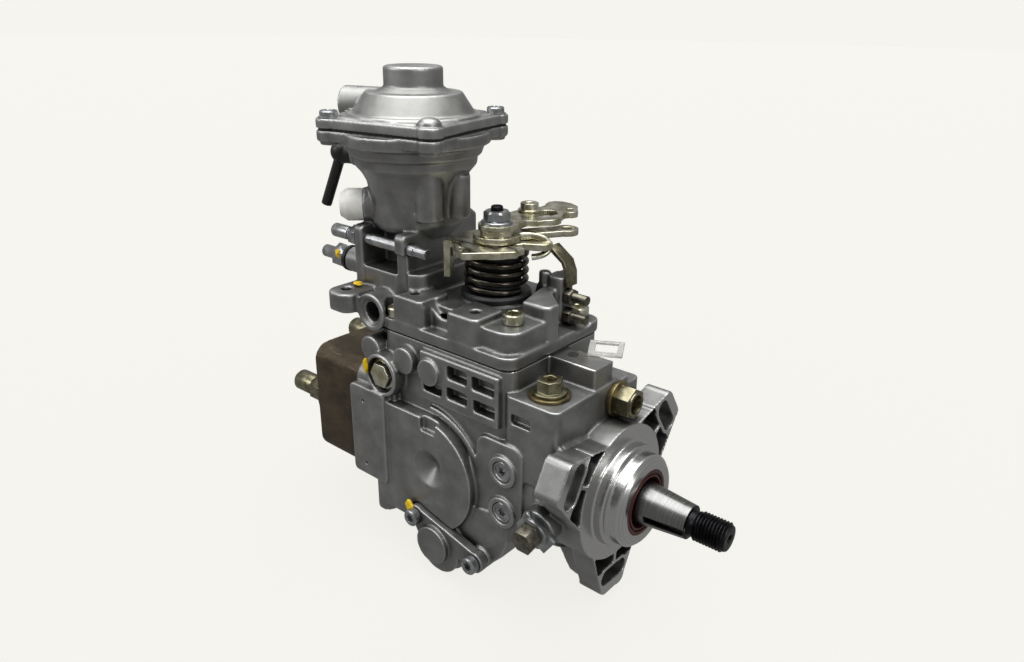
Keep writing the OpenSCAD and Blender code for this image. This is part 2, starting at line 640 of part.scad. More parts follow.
// Distributor head
head_z = [-28, 36];
solenoid_at = [rear_x - 19, 27, 22];
solenoid_tilt = 45;
solenoid_seat = 15;
module distributor_head() color("dimgray") difference() {
    union() {
        plate_x(rear_x - head_len, rear_x) round_rect([-head_half_w, head_z[0]],
            [head_half_w, head_z[1]], 9);
        rod_x(rear_x - head_len - 2.5, rear_x - 2, 15);
        for (k = [0:outlet_count - 1]) let (a = 180 + 360 * k / outlet_count)
            rod_x(rear_x - head_len - 1.5, rear_x - 4, 9.4, y = outlet_pitch_r * cos(a),
                z = outlet_pitch_r * sin(a) * 0.86 + 3);
        translate(solenoid_at) rotate([-solenoid_tilt, 0, 0]) cylinder(h = solenoid_seat, r = 12.5);
    }
    rod_x(rear_x - head_len + 7, rear_x + 1, plunger_r + fit);
    rod_x(rear_x - head_len - 3, rear_x - head_len + 8, 5);
    translate(solenoid_at) rotate([-solenoid_tilt, 0, 0])
        cylinder(h = solenoid_seat + 1, r = 5);
    for (p = head_screw_at)
        rod_x(rear_x - head_len - 1, rear_x + 1, 3, y = p[0], z = p[1]);
    for (p = head_screw_at)
        rod_x(rear_x - head_len - 1, rear_x - head_len + 6, 5.4, y = p[0], z = p[1]);
    for (k = [0:outlet_count - 1]) let (a = 180 + 360 * k / outlet_count)
        rod_x(rear_x - head_len - 2, rear_x - head_len + 12, 6, y = outlet_pitch_r * cos(a),
            z = outlet_pitch_r * sin(a) * 0.86 + 3);
}
module head_screws() color("black") for (p = head_screw_at)
    translate([rear_x - head_len + 6, p[0], p[1]]) rotate([0, -90, 0])
        socket_screw(5, 5.6, 3, head_len - 6 + 12);
module delivery_valve_holders() color("darkkhaki")
    for (k = [0:outlet_count - 1]) let (a = 180 + 360 * k / outlet_count)
        translate([rear_x - head_len - 1.5, outlet_pitch_r * cos(a),
            outlet_pitch_r * sin(a) * 0.86 + 3]) rotate([0, -90, 0]) difference() {
            union() {
                translate([0, 0, -12]) cylinder(h = 12.5, r = 6);
                cylinder(h = 4, r = 7.4);
                translate([0, 0, 3]) cylinder(h = 8, r = 7.5, $fn = 6);
                translate([0, 0, 10]) cylinder(h = 3, r = 5);
                translate([0, 0, 12]) cylinder(h = 14, r = 6);
                translate([0, 0, 26 - eps]) cylinder(h = 1.6, r1 = 6, r2 = 4.8);
            }
            translate([0, 0, 16]) cylinder(h = 12, r = 2);
            translate([0, 0, 24]) cylinder(h = 4, r1 = 2, r2 = 4);
        }
module head_center_plug() color("darkkhaki") {
    rod_x(rear_x - head_len - 2.5, rear_x - head_len + 6, 5);
    rod_x(rear_x - head_len - 4.3, rear_x - head_len - 2.5, 11);
    hex_rod_x(rear_x - head_len - 10, rear_x - head_len - 4.2, 17);
}
module fuel_cutoff_solenoid() color("gray") translate(solenoid_at)
    rotate([-solenoid_tilt, 0, 0]) translate([0, 0, solenoid_seat]) difference() {
        union() {
            translate([0, 0, -10]) cylinder(h = 10.5, r = 5);
            cylinder(h = 6, r = 12 / cos(30), $fn = 6);
            cylinder(h = solenoid_h - 5, r = 11);
            translate([0, 0, solenoid_h - 5 - eps]) cylinder(h = 2, r1 = 11, r2 = 8);
            translate([0, 0, solenoid_h - 4]) cylinder(h = 4, r = 4);
            translate([0, 0, solenoid_h - 0.5]) cylinder(h = 8, r = 2.4);
        }
        translate([0, 0, -11]) cylinder(h = 24, r = 3.2 + fit);
    }
module solenoid_plunger() color("silver") translate(solenoid_at)
    rotate([-solenoid_tilt, 0, 0]) translate([0, 0, solenoid_seat - 12]) {
        cylinder(h = 20, r = 3.2);
        translate([0, 0, -2]) cylinder(h = 2 + eps, r1 = 1.4, r2 = 3.2);
    }

// Governor cover
lug_at = [-147, -36.5];
port_x = -128.5;
port_z = 67.5;
port_r = 9.7;
port_bore_r = 5.1;
stop_y = -22;
stop_z = 99;
ear_x = [[-151, -145], [-121, -114.5]];
tower_flange_t = 5;
boost_screws = [45, 135, 225];
rim_half = boost_screw_r * cos(45) + 5;
block_top_z = 105;
cap_seat = 27;
cap_z = 115.2;
vent_z = 138;
boss_z = 99;
full_y = -8;
full_z = 79;
full_x = tower_x - 43;
speed_at = [[19.5, 80], [19.5, 70.3]];
speed_face_x = -50;
module rim_outline(grow = 0) rotate(boost_turn) {
    round_rect([-rim_half - grow, -rim_half - grow], [rim_half + grow, rim_half + grow], 10);
    for (a = [45:90:315]) rotate(a) translate([boost_screw_r, 0]) circle(6.4 + grow);
}
module tower_outside() translate([tower_x, 0, 0]) {
    plate_z(diaphragm_z - tower_flange_t, diaphragm_z) rim_outline();
    for (a = [45:90:315]) rotate(a + boost_turn) translate([boost_screw_r - 0.5, 0,
        diaphragm_z - tower_flange_t - 2]) cylinder(h = 5, r = 5.4);
    // Bowl below the rim, which narrows to the neck
    rotate_extrude($fn = 64) polygon([[0, 102], [tower_r - 5, 102], [tower_r - 0.8, 108], [tower_r - 0.8, 118],
        [tower_r + 0.8, 128], [tower_r + 3.2, 132.5], [30.6, 136.5], [31, 140.5],
        [33, 141.5], [34.5, 146], [37.5, 147], [37.5, diaphragm_z - 1], [0, diaphragm_z - 1]]);
    // Vertical bosses on the side of the tower
    rotate(12) translate([tower_r + 0.5, 0, 112]) cylinder(h = 21, r = 6);
    rotate(-29) translate([tower_r - 2, 0, 112]) cylinder(h = 25, r = 7);
    rotate(140) translate([tower_r - 3, 0, 100]) cylinder(h = 36, r = 7);
    rotate(225) translate([0, 0, cap_z]) rotate([0, 90, 0]) cylinder(h = cap_seat, r = 8.6);
    rotate(200) translate([0, 0, vent_z]) rotate([0, 90, 0]) cylinder(h = 35, r = 6);
}
// Plan of the cover in front, where its far corner steps back
module front_cut(back) polygon([[upper_rear_x - 20, -50], [-39.5 - back, -50], [-39.5 - back, -1 - back],
    [-52 - back, 10 - back], [-56 - back, 50], [upper_rear_x - 20, 50]]);
module cover_pads() {
    top = deck_z + 3.4;
    plate_z(cover_z + 5, top) {
        round_rect([-79, wall_y - 0.5], [-59.5, -15.8], 3);
        round_rect([-119, wall_y - 0.5], [-94, -16], 3);
        round_rect([-120, 14], [-100, 34], 4);
    }
    // Front wall with the block beside the front screw
    plate_z(cover_z + 4, deck_z + 7) intersection() {
        round_rect([-62, -9], [-39.5, 30], 3);
        front_cut(0);
        polygon([[-54, -12], [-30, -12], [-30, 40], [-64, 40], [-60, 10]]);
    }
    plate_z(cover_z + 4, deck_z + 13) round_rect([-58.5, 14], [-50, 28], 2);
    rod_z(deck_z - 2, deck_z + 14, 2.9, x = -62, y = 17);
    rod_z(deck_z - 2, deck_z + 12, 5, x = -57, y = 24);
}
module governor_cover() color("silver") difference() {
    union() {
        plate_z(cover_z, cover_z + 6)
            round_rect([upper_rear_x, wall_y - 0.8], [upper_front_x + 0.8, 0.8 - wall_y], 7);
        plate_z(cover_z + 3, deck_z) intersection() {
            round_rect([upper_rear_x + 2, -32.5], [upper_front_x - 1, 32.5], 9);
            front_cut(0);
        }
        cover_pads();
        // Rear overhang that carries the tower
        plate_z(cover_z + 1.6, cover_z + 27) round_rect([-156, -26], [-106, 26], 8);
        plate_z(cover_z + 20, block_top_z) round_rect([-151, -17], [ear_x[1][1], 27], 3);
        intersection() {
            plate_z(block_top_z - 1, 118) round_rect([-151, -18], [ear_x[1][1], 27], 3);
            translate([tower_x, 0, block_top_z - 1]) cylinder(h = 12, r1 = 36, r2 = tower_r - 1);
        }
        plate_z(cover_z + 5, deck_z - 1) round_rect([-154, lug_at[1] - 9], [-137, -15], 6);
        difference() {
            rod_y(wall_y - 3, -10, port_r, x = port_x, z = port_z);
            block([upper_rear_x - 0.3, -100], [wall_y - 0.3, 0], [50, cover_z + 1]);
        }
        tower_outside();
        // Ears of the stop screw
        for (e = ear_x) plate_x(e[0], e[1]) {
            round_rect([-27, cover_z + 14], [6, stop_z + 7.5], 3);
            translate([-27, cover_z + 14]) square([30, 18]);
        }
        // Bosses of the full load screw and of the speed screws
        rod_x(full_x, full_x + 25, 7, y = full_y, z = full_z);
        for (p = speed_at) rod_x(-66, speed_face_x, 5, y = p[0], z = p[1]);
        // Throttle shaft boss
        rod_z(deck_z - 1, spring_seat_z, 16.4, x = throttle_x, y = throttle_y);
        rod_z(deck_z - 1, boss_z, 8.5, x = throttle_x, y = throttle_y);
    }
    // Inside of the cover
    difference() {
        union() {
            plate_z(cover_z - 1, cover_z + 3.4) round_rect([upper_rear_x + 6, -27],
                [barrel_front_x, 27], 5);
            plate_z(cover_z - 1, deck_z - cover_wall) intersection() {
                round_rect([upper_rear_x + 6, -27], [barrel_front_x, 27], 5);
                front_cut(cover_wall);
            }
        }
        rod_z(cover_z - 2, deck_z, 8.7, x = cover_screw_at[1][0], y = cover_screw_at[1][1]);
    }
    rod_z(cover_z - 1, boss_z + 1, throttle_r + fit, x = throttle_x, y = throttle_y);
    // Tower: spring chamber, guide bore and passage
    rod_z(diaphragm_z - 34, diaphragm_z + 1, tower_r - 5.5, x = tower_x);
    rod_z(deck_z - 2, diaphragm_z, pin_guide_r + fit, x = tower_x);
    rod_z(diaphragm_z - 9, diaphragm_z + 1, 24, x = tower_x);
    for (a = boost_screws) translate([tower_x, 0, 0]) rotate(a + boost_turn)
        translate([boost_screw_r, 0, diaphragm_z - 7.5]) cylinder(h = 9, r = 2.2);
    // Ports and threads
    rod_y(wall_y - 4, -14, port_bore_r, x = port_x, z = port_z);
    rod_y(wall_y - 4, wall_y - 1.5, port_bore_r + 2, x = port_x, z = port_z);
    for (p = [[-68.5, -26], [-107, -27], [-110, 24]])
        rod_z(deck_z - 3, deck_z + 8, 2.6, x = p[0], y = p[1]);
    rod_z(cover_z + 2, deck_z, 2.8, x = lug_at[0], y = lug_at[1]);
    for (e = ear_x) rod_x(e[0] - 1, e[1] + 1, 3, y = stop_y, z = stop_z);
    rod_x(full_x - 1, full_x + 23, 3.5, y = full_y, z = full_z);
    for (p = speed_at) rod_x(-62, speed_face_x + 1, 2.4, y = p[0], z = p[1]);
    for (i = [0:3]) let (p = cover_screw_at[i], h = cover_screw_seat[i]) {
        rod_z(cover_z - 1, deck_z + 5, 3.2, x = p[0], y = p[1]);
        rod_z(cover_z + h, deck_z + 20, 5.8, x = p[0], y = p[1]);
    }
    // Relief below the speed screws
    block([speed_face_x - 0.3, -38], [13, 25.2], [cover_z + 4.8, cover_z + 8.3]);
    // Pockets of the casting
    block([-94, -79], [wall_y - 2, -29], [cover_z + 6, deck_z + 4]);
    translate([-86.5, wall_y - 4, deck_z + 4]) rotate([-90, 0, 0]) cylinder(h = 14, r = 8.5);
    block([ear_x[0][1], ear_x[1][0]], [-30, -11], [cover_z + 25, stop_z + 5]);
}
module cover_gasket() color("black") difference() {
    plate_z(joint_z, cover_z) round_rect([upper_rear_x, wall_y], [upper_front_x, -wall_y], 7);
    plate_z(joint_z - 1, cover_z + 1) round_rect([upper_rear_x + 5, wall_y + upper_wall],
        [barrel_front_x, -wall_y - upper_wall], 4);
    for (p = cover_screw_at) rod_z(joint_z - 1, cover_z + 1, 3.2, x = p[0], y = p[1]);
}
module cover_screws() color("khaki") for (i = [0:3])
    let (p = cover_screw_at[i], h = cover_screw_seat[i])
        translate([p[0], p[1], cover_z + h]) socket_screw(5, 5, 3, h + gasket_t + 4.5);

// Boost compensator
pin_guide_r = 4;
plate_r = 17;
boost_cover_h = 28;
disc_z = diaphragm_z - 2.4;
module diaphragm() color("black") difference() {
    translate([tower_x, 0, 0]) plate_z(diaphragm_z, diaphragm_z + 1) rim_outline(-1);
    for (a = boost_screws) translate([tower_x, 0, 0]) rotate(a + boost_turn)
        translate([boost_screw_r, 0, diaphragm_z - 1]) cylinder(h = 3, r = 2.3);
    rod_z(diaphragm_z - 1, diaphragm_z + 3, plate_r + gap, x = tower_x);
}
module diaphragm_cover() color("silver") translate([tower_x, 0, diaphragm_z + 1])
    difference() {
        union() {
            plate_z(0, 4.5) rim_outline();
            plate_z(4, 5.5) rotate(boost_turn) round_rect([-32, -32], [32, 32], 16);
            cylinder(h = 6.5, r = 32.5);
            translate([0, 0, 5.4]) cylinder(h = 10.6, r1 = 30.5, r2 = 23.5);
            translate([0, 0, 15.9]) cylinder(h = 2.6, r1 = 18.5, r2 = cap_r);
            cylinder(h = boost_cover_h - 1, r = cap_r);
            translate([0, 0, boost_cover_h - 1 - eps])
                cylinder(h = 1, r1 = cap_r, r2 = cap_r - 1);
            rotate(200) translate([14, 0, 8.6]) rotate([0, 90, 0]) cylinder(h = 24, r = 8.6);
            // Smooth dome on the fourth corner
            rotate(315 + boost_turn) translate([boost_screw_r - 1.5, 0, 4]) {
                cylinder(h = 2.4, r = 5.4);
                translate([0, 0, 2.4 - eps]) cylinder(h = 1.5, r1 = 5.4, r2 = 4);
                translate([0, 0, 3.9 - 2 * eps]) cylinder(h = 0.7, r1 = 4, r2 = 2);
            }
        }
        translate([0, 0, -1]) cylinder(h = 6, r = 27);
        translate([0, 0, -1]) cylinder(h = 14, r = 17);
        rotate(200) translate([10, 0, 8.6]) rotate([0, 90, 0]) cylinder(h = 31, r = 5);
        for (a = boost_screws) rotate(a + boost_turn) translate([boost_screw_r, 0, 0]) {
            translate([0, 0, -1]) cylinder(h = 8, r = 2.4);
            translate([0, 0, 4.4]) cylinder(h = 12, r = 6);
        }
    }
module diaphragm_cover_screws() color("khaki") translate([tower_x, 0, diaphragm_z + 5.4])
    for (a = boost_screws) rotate(a + boost_turn) translate([boost_screw_r, 0, 0]) {
        socket_screw(4.4, 3.6, 2.2, 5.5 + 7);
        cylinder(h = 0.8, r = 5.2);
    }
module boost_pin() color("lightsteelblue") translate([tower_x, 0, 0]) {
    rod_z(deck_z + 4, disc_z + 3, pin_guide_r);
    rod_z(disc_z, disc_z + 1.6, plate_r);
    rod_z(disc_z + 1.5, disc_z + 5.4, plate_r - 3);
    rod_z(disc_z + 5, disc_z + 9, 3);
}
module boost_spring() color("dimgray") translate([tower_x, 0, diaphragm_z - 34])
    coil(11, 1.2, 5, disc_z - diaphragm_z + 34, steps = 14, sides = 6);
module vent_elbow() color("black") translate([tower_x, 0, 0]) rotate(200) {
    translate([35, 0, vent_z]) rotate([0, 90, 0]) cylinder(h = 7, r = 5.2);
    translate([42, 0, vent_z + 0.5]) sphere(6, $fn = 28);
    translate([42.5, 0, vent_z]) rotate([0, 158, 0]) cylinder(h = 30, r = 2.8);
}
module transit_cap() color("white") translate([tower_x, 0, cap_z]) rotate(225)
    rotate([0, 90, 0]) translate([0, 0, cap_seat]) difference() {
        union() {
            cylinder(h = 8, r = 8.2);
            translate([0, 0, 8 - eps]) cylinder(h = 3.5, r1 = 8.2, r2 = 5.8);
        }
        translate([0, 0, 3]) cylinder(h = 12, r = 4.4);
    }

// Throttle levers
throttle_y = throttle_side;
spring_seat_z = deck_z + 1.8;
seat_t = 4.4;
cup_z = 102.5;
lever_z = 111;
nut_z = lever_z + lever_t;
link_z = 106;
link_at = [18.5, 30.5];
module at_throttle(z = 0) translate([throttle_x, throttle_y, z]) children();
module throttle_shaft() color("gainsboro") at_throttle() {
    rod_z(66, nut_z + 8.5, throttle_r);
    translate([-2.6, 0, 62.5]) cylinder(h = 4, r = 2);
}
module spring_seat() color("black") at_throttle(spring_seat_z) difference() {
    union() {
        cylinder(h = 2, r = spring_r + 3);
        translate([0, 0, 2 - eps]) cylinder(h = 1.2, r1 = spring_r + 3, r2 = spring_r + 1.8);
        cylinder(h = seat_t + 3, r = spring_r - spring_wire_r - 0.3);
    }
    translate([0, 0, -1]) cylinder(h = seat_t + 6, r = 8.5);
}
module throttle_spring() color("dimgray") at_throttle(spring_seat_z + 2.95)
    coil(spring_r, spring_wire_r, spring_turns, cup_z - gap - spring_seat_z - 2.95, steps = 24,
        sides = 8);
module throttle_cup() color("darkkhaki") at_throttle() difference() {
    union() {
        plate_z(cup_z, cup_z + lever_t) {
            intersection() {
                circle(18.5);
                polygon([[0, 0], [24, -24], [24, -4], [10, 2], [24, 10], [12, 26], [-22, 24],
                    [-22, -12], [-8, -30], [6, -30]]);
            }
            translate([6.2, -8.8]) circle(11.5);
            translate([10.5, 13.5]) circle(6.5);
            rotate(212) translate([12, -5]) square([13, 10]);
        }
        // Hook that reaches down beside the spring
        rotate(212) block([22, 25], [-5, 5], [cup_z - 15, cup_z + lever_t]);
        rotate(212) block([19, 23], [-5, -2], [cup_z - 7, cup_z + 1]);
        rod_z(boss_z + gap, cup_z + 1, 8);
        rod_z(cup_z, lever_z, 8);
    }
    rod_z(boss_z, lever_z + 1, throttle_r);
    translate([6.2, -8.8, cup_z - 1]) cylinder(h = 4.5, r = 3);
}
module throttle_lever() color("darkkhaki") at_throttle() difference() {
    plate_z(lever_z, lever_z + lever_t) union() {
        circle(8.4);
        polygon([[-7.6, -1.5], [-9.8, 28], [-6, 38], [0, 42.5], [6, 36], [4.5, 28], [7.6, -1.5]]);
        translate([0.5, 35]) circle(8.6);
        polygon([[-4, 37], [1, 50], [6, 52], [10, 47], [7, 34]]);
        translate([5.5, 48.5]) circle(5.2);
    }
    rod_z(lever_z - 1, lever_z + lever_t + 1, throttle_r);
    translate([5.5, 48.5, lever_z - 1]) cylinder(h = 6, r = 2.6);
    translate([2.6, 36.5, lever_z - 1]) cylinder(h = 6, r = 3);
    translate([-3.6, 29, lever_z - 1]) cylinder(h = 6, r = 2.4);
}
module lever_nut() color("silver") at_throttle(nut_z) difference() {
    union() {
        cylinder(h = 1.4, r = 7.6);
        translate([0, 0, 1.3]) cylinder(h = 5, r = 6.6, $fn = 6);
    }
    translate([0, 0, -1]) cylinder(h = 8, r = throttle_r);
}
module lever_clamp_screw() color("darkkhaki") at_throttle(nut_z) translate([-3.6, 29, 0]) {
    cylinder(h = 1.2, r = 5.8);
    socket_screw(4.6, 4.4, 2.3, lever_t + 2);
    translate([0, 0, -lever_t - 3.2]) cylinder(h = 3.2, r = 4.6, $fn = 6);
}
module link_bracket() color("darkkhaki") at_throttle() {
    // Lower arm, clamped on the hub of the lever, for the governor link
    plate_z(link_z, link_z + lever_t) difference() {
        union() {
            rotate(atan2(link_at[1], link_at[0])) translate([8.2, -5]) square([30, 10]);
            translate(link_at) circle(6);
            circle(11.5);
        }
        translate(link_at) circle(2.6);
        circle(8);
    }
}
module stop_bracket() color("darkkhaki") {
    // Bent strip on the front wall of the cover
    plate_y(17, 25) polygon([[-50, 85], [-48.2, 85], [-48.6, 92], [-51, 97.5], [-60, 103.6],
        [-61.2, 102], [-52.6, 96.2], [-50.4, 91.5], [-50, 89.8]]);
}
module stop_screw() color("khaki") {
    rod_x(ear_x[0][0] - 9, ear_x[1][1] + 4, 3, y = stop_y, z = stop_z);
    rod_x(ear_x[1][1] + 3, ear_x[1][1] + 12, 2.6, y = stop_y, z = stop_z);
    hex_rod_x(ear_x[0][0] - 5, ear_x[0][0], 9.5, y = stop_y, z = stop_z);
    rod_x(ear_x[0][0] - 20, ear_x[0][0] - 8, 3.6, y = stop_y, z = stop_z);
}
module full_load_screw() color("silver") {
    rod_x(full_x - 24, full_x + 21, 3.5, y = full_y, z = full_z);
    hex_rod_x(full_x - 12, full_x - 3, 12, y = full_y, z = full_z);
    rod_x(full_x - 3.2, full_x, 6.2, y = full_y, z = full_z);
}
module speed_screws() color("khaki") for (p = speed_at) {
    rod_x(-61, speed_face_x + 12, 2.4, y = p[0], z = p[1]);
    hex_rod_x(speed_face_x, speed_face_x + 4, 7.4, y = p[0], z = p[1]);
}

// Plugs and fittings of the housing
washer_t = 1.4;
module inlet_plug() color("darkkhaki") translate([inlet_x, inlet_y, inlet_top_z + washer_t])
    difference() {
        union() {
            translate([0, 0, -washer_t - 11]) cylinder(h = washer_t + 11.5, r = 6);
            cylinder(h = 1.4, r = 7.8);
            translate([0, 0, 1]) cylinder(h = 6, r = 6.2, $fn = 6);
        }
        translate([0, 0, 2.5]) cylinder(h = 8, r = 3.2, $fn = 6);
    }
module seal_washers() color("gold") {
    difference() {
        rod_z(inlet_top_z, inlet_top_z + washer_t, 9.6, x = inlet_x, y = inlet_y);
        rod_z(inlet_top_z - 1, inlet_top_z + 3, 6, x = inlet_x, y = inlet_y);
    }
    difference() {
        rod_x(valve_face_x, valve_face_x + washer_t + 1, 8.8, y = valve_y, z = valve_z);
        rod_x(valve_face_x - 1, valve_face_x + 4, 5, y = valve_y, z = valve_z);
    }
}
module pressure_valve() color("darkkhaki") difference() {
    union() {
        rod_x(valve_face_x - 16, valve_face_x + washer_t + 1.5, 5, y = valve_y, z = valve_z);
        hex_rod_x(valve_face_x + washer_t + 1, valve_face_x + washer_t + 9, 13.5,
            y = valve_y, z = valve_z);
        rod_x(valve_face_x + washer_t + 8.9, valve_face_x + washer_t + 9.8, 6,
            y = valve_y, z = valve_z);
    }
    rod_x(valve_face_x + washer_t + 4, valve_face_x + washer_t + 12, 4.6, y = valve_y,
        z = valve_z);
}
module hex_plug() color("darkkhaki") {
    rod_y(pad_y + 3.9, pad_y + 11, plug_r - 1, x = plug_x, z = plug_z);
    rod_y(pad_y + 2.6, pad_y + 4, plug_r + 0.8, x = plug_x, z = plug_z);
    translate([plug_x, pad_y + 2.7, plug_z]) rotate([90, 0, 0])
        cylinder(h = 3.7, r = plug_r - 0.2, $fn = 6);
}
module access_plugs() color("gray") for (z = access_z) difference() {
    rod_y(-39, -33.4, access_r, x = access_x, z = z);
    translate([access_x, -37.5, z]) rotate([90, 0, 0]) cylinder(h = 4, r = 1.9, $fn = 4);
}
module shaft_lock_bolt() color("gray") rotate([lock_tilt, 0, 0]) {
    rod_y(-51, -shaft_r - 3, lock_r, x = lock_x);
    translate([lock_x, -45.2, 0]) rotate([90, 0, 0]) cylinder(h = 7, r = 6.3, $fn = 6);
}
module lock_spacer() color("white") rotate([lock_tilt, 0, 0]) difference() {
    union() {
        rod_y(-45.2, -43.4, 8, x = lock_x);
        translate([lock_x, -41, 0]) rotate([90, 0, 0]) linear_extrude(2.5)
            rotate(-35) translate([-8, -6]) square([18, 12]);
    }
    rod_y(-47, -40, lock_r, x = lock_x);
}

pump_housing();
shaft_bush();
shaft_seal();
governor_cover();
cover_gasket();
cover_screws();
distributor_head();
head_screws();
delivery_valve_holders();
head_center_plug();
fuel_cutoff_solenoid();
solenoid_plunger();
diaphragm_cover();
diaphragm_cover_screws();
diaphragm();
boost_pin();
boost_spring();
vent_elbow();
transit_cap();
throttle_shaft();
throttle_spring();
spring_seat();
throttle_cup();
throttle_lever();
lever_nut();
lever_clamp_screw();
link_bracket();
stop_bracket();
stop_screw();
full_load_screw();
speed_screws();
inlet_plug();
pressure_valve();
seal_washers();
hex_plug();
access_plugs();
shaft_lock_bolt();
lock_spacer();
timing_cover();
timing_rear_cover();
timing_cover_screws();
timing_piston();
timing_spring();
roller_ring();
drive_shaft();
feed_pump_ring();
feed_pump_plate();
feed_rotor();
drive_gear();
cam_plate();
plunger();
control_collar();
governor_shaft();
governor_cage();
flyweight_top();
flyweight_far();
flyweight_bottom();
flyweight_near();
governor_sleeve();
governor_lever();
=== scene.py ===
# Rotary distributor injection pump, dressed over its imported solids.
# The scene is in metres, in the row frame: +X along the drive shaft, +Z up, and -Y is
# the side that faces the camera. Sizes given in millimetres are multiplied by MM.
import json
import math

import bpy
import bmesh
from mathutils import Matrix, Vector


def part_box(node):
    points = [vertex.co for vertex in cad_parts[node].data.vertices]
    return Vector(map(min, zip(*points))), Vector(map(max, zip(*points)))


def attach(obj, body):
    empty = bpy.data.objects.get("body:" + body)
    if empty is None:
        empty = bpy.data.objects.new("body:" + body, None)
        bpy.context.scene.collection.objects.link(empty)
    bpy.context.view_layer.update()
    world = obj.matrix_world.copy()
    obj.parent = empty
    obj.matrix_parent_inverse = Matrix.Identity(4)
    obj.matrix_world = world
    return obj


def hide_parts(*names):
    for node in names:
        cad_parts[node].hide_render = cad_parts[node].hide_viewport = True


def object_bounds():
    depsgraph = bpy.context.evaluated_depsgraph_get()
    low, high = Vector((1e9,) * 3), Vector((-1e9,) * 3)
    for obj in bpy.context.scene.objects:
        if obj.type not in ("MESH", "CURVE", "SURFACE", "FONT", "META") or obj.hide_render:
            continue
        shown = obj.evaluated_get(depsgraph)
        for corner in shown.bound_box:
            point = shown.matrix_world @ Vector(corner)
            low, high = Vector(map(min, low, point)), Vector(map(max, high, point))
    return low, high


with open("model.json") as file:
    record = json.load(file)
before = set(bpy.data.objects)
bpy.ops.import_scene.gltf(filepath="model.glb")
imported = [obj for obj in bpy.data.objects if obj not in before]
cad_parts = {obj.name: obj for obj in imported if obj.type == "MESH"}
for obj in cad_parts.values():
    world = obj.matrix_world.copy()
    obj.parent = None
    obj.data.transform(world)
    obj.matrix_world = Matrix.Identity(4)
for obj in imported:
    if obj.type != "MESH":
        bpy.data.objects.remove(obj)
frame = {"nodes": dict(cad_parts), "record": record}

cad_box = [list(map(float, corner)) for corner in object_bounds()]
MM = 0.001
NODES = frame["nodes"]
BODY_OF = {node: body for body, nodes in frame["record"]["behaviour"]["bodies"].items()
    for node in nodes}

# Where the housing is machined, in mm along X and Z
NOSE_FROM_X = -0.25
FLANGE_FROM_X = -16
LAND_FROM_X = -41.6
LAND_FROM_Z = 59.55

# Edges that turn more than this are broken, stay crisp, or stay crisp on thin bright pieces
BROKEN_FROM = math.radians(34)
CRISP_FROM = math.radians(38)
BRIGHT_CRISP_FROM = math.radians(30)

# Where the throttle shaft stands, in mm, and the ways that pieces point
THROTTLE_AT = (-80, 2)
UP, AWAY, TOWARD = (0, 0, 1), (0, 1, 0), (0, -1, 0)
FORWARD, BACKWARD = (1, 0, 0), (-1, 0, 0)


# Materials

def linear(hex_colour):
    """An sRGB hex colour as linear red, green, blue and alpha."""
    parts = [int(hex_colour[i:i + 2], 16) / 255 for i in (1, 3, 5)]
    return [c / 12.92 if c <= 0.04045 else ((c + 0.055) / 1.055) ** 2.4 for c in parts] + [1.0]


def add(tree, kind, inputs=None, **settings):
    """Adds a node. inputs maps an input's name or number to a value or to an output socket."""
    made = tree.nodes.new(kind)
    for key, value in settings.items():
        setattr(made, key, value)
    for key, value in (inputs or {}).items():
        if isinstance(value, bpy.types.NodeSocket):
            tree.links.new(value, made.inputs[key])
        else:
            made.inputs[key].default_value = value
    return made


def start_material(name, **sockets):
    """A material with its shader and the piece's own coordinates in metres."""
    material = bpy.data.materials.new(name)
    material.use_nodes = True
    tree = material.node_tree
    shader = tree.nodes["Principled BSDF"]
    for key, value in sockets.items():
        shader.inputs[key.replace("_", " ")].default_value = value
    where = add(tree, "ShaderNodeTexCoord").outputs["Object"]
    return material, tree, shader, where


def scale_for(size_mm):
    """The scale at which a pattern's marks are about that many millimetres across."""
    return 1 / (size_mm * MM)


def two_tone(tree, factor, low, high, start=0.35, end=0.65):
    """Colour that runs from one hex value to another as factor goes from start to end."""
    ramp = add(tree, "ShaderNodeValToRGB", {"Fac": factor})
    ramp.color_ramp.elements[0].position = start
    ramp.color_ramp.elements[1].position = end
    ramp.color_ramp.elements[0].color = linear(low)
    ramp.color_ramp.elements[1].color = linear(high)
    return ramp.outputs["Color"]


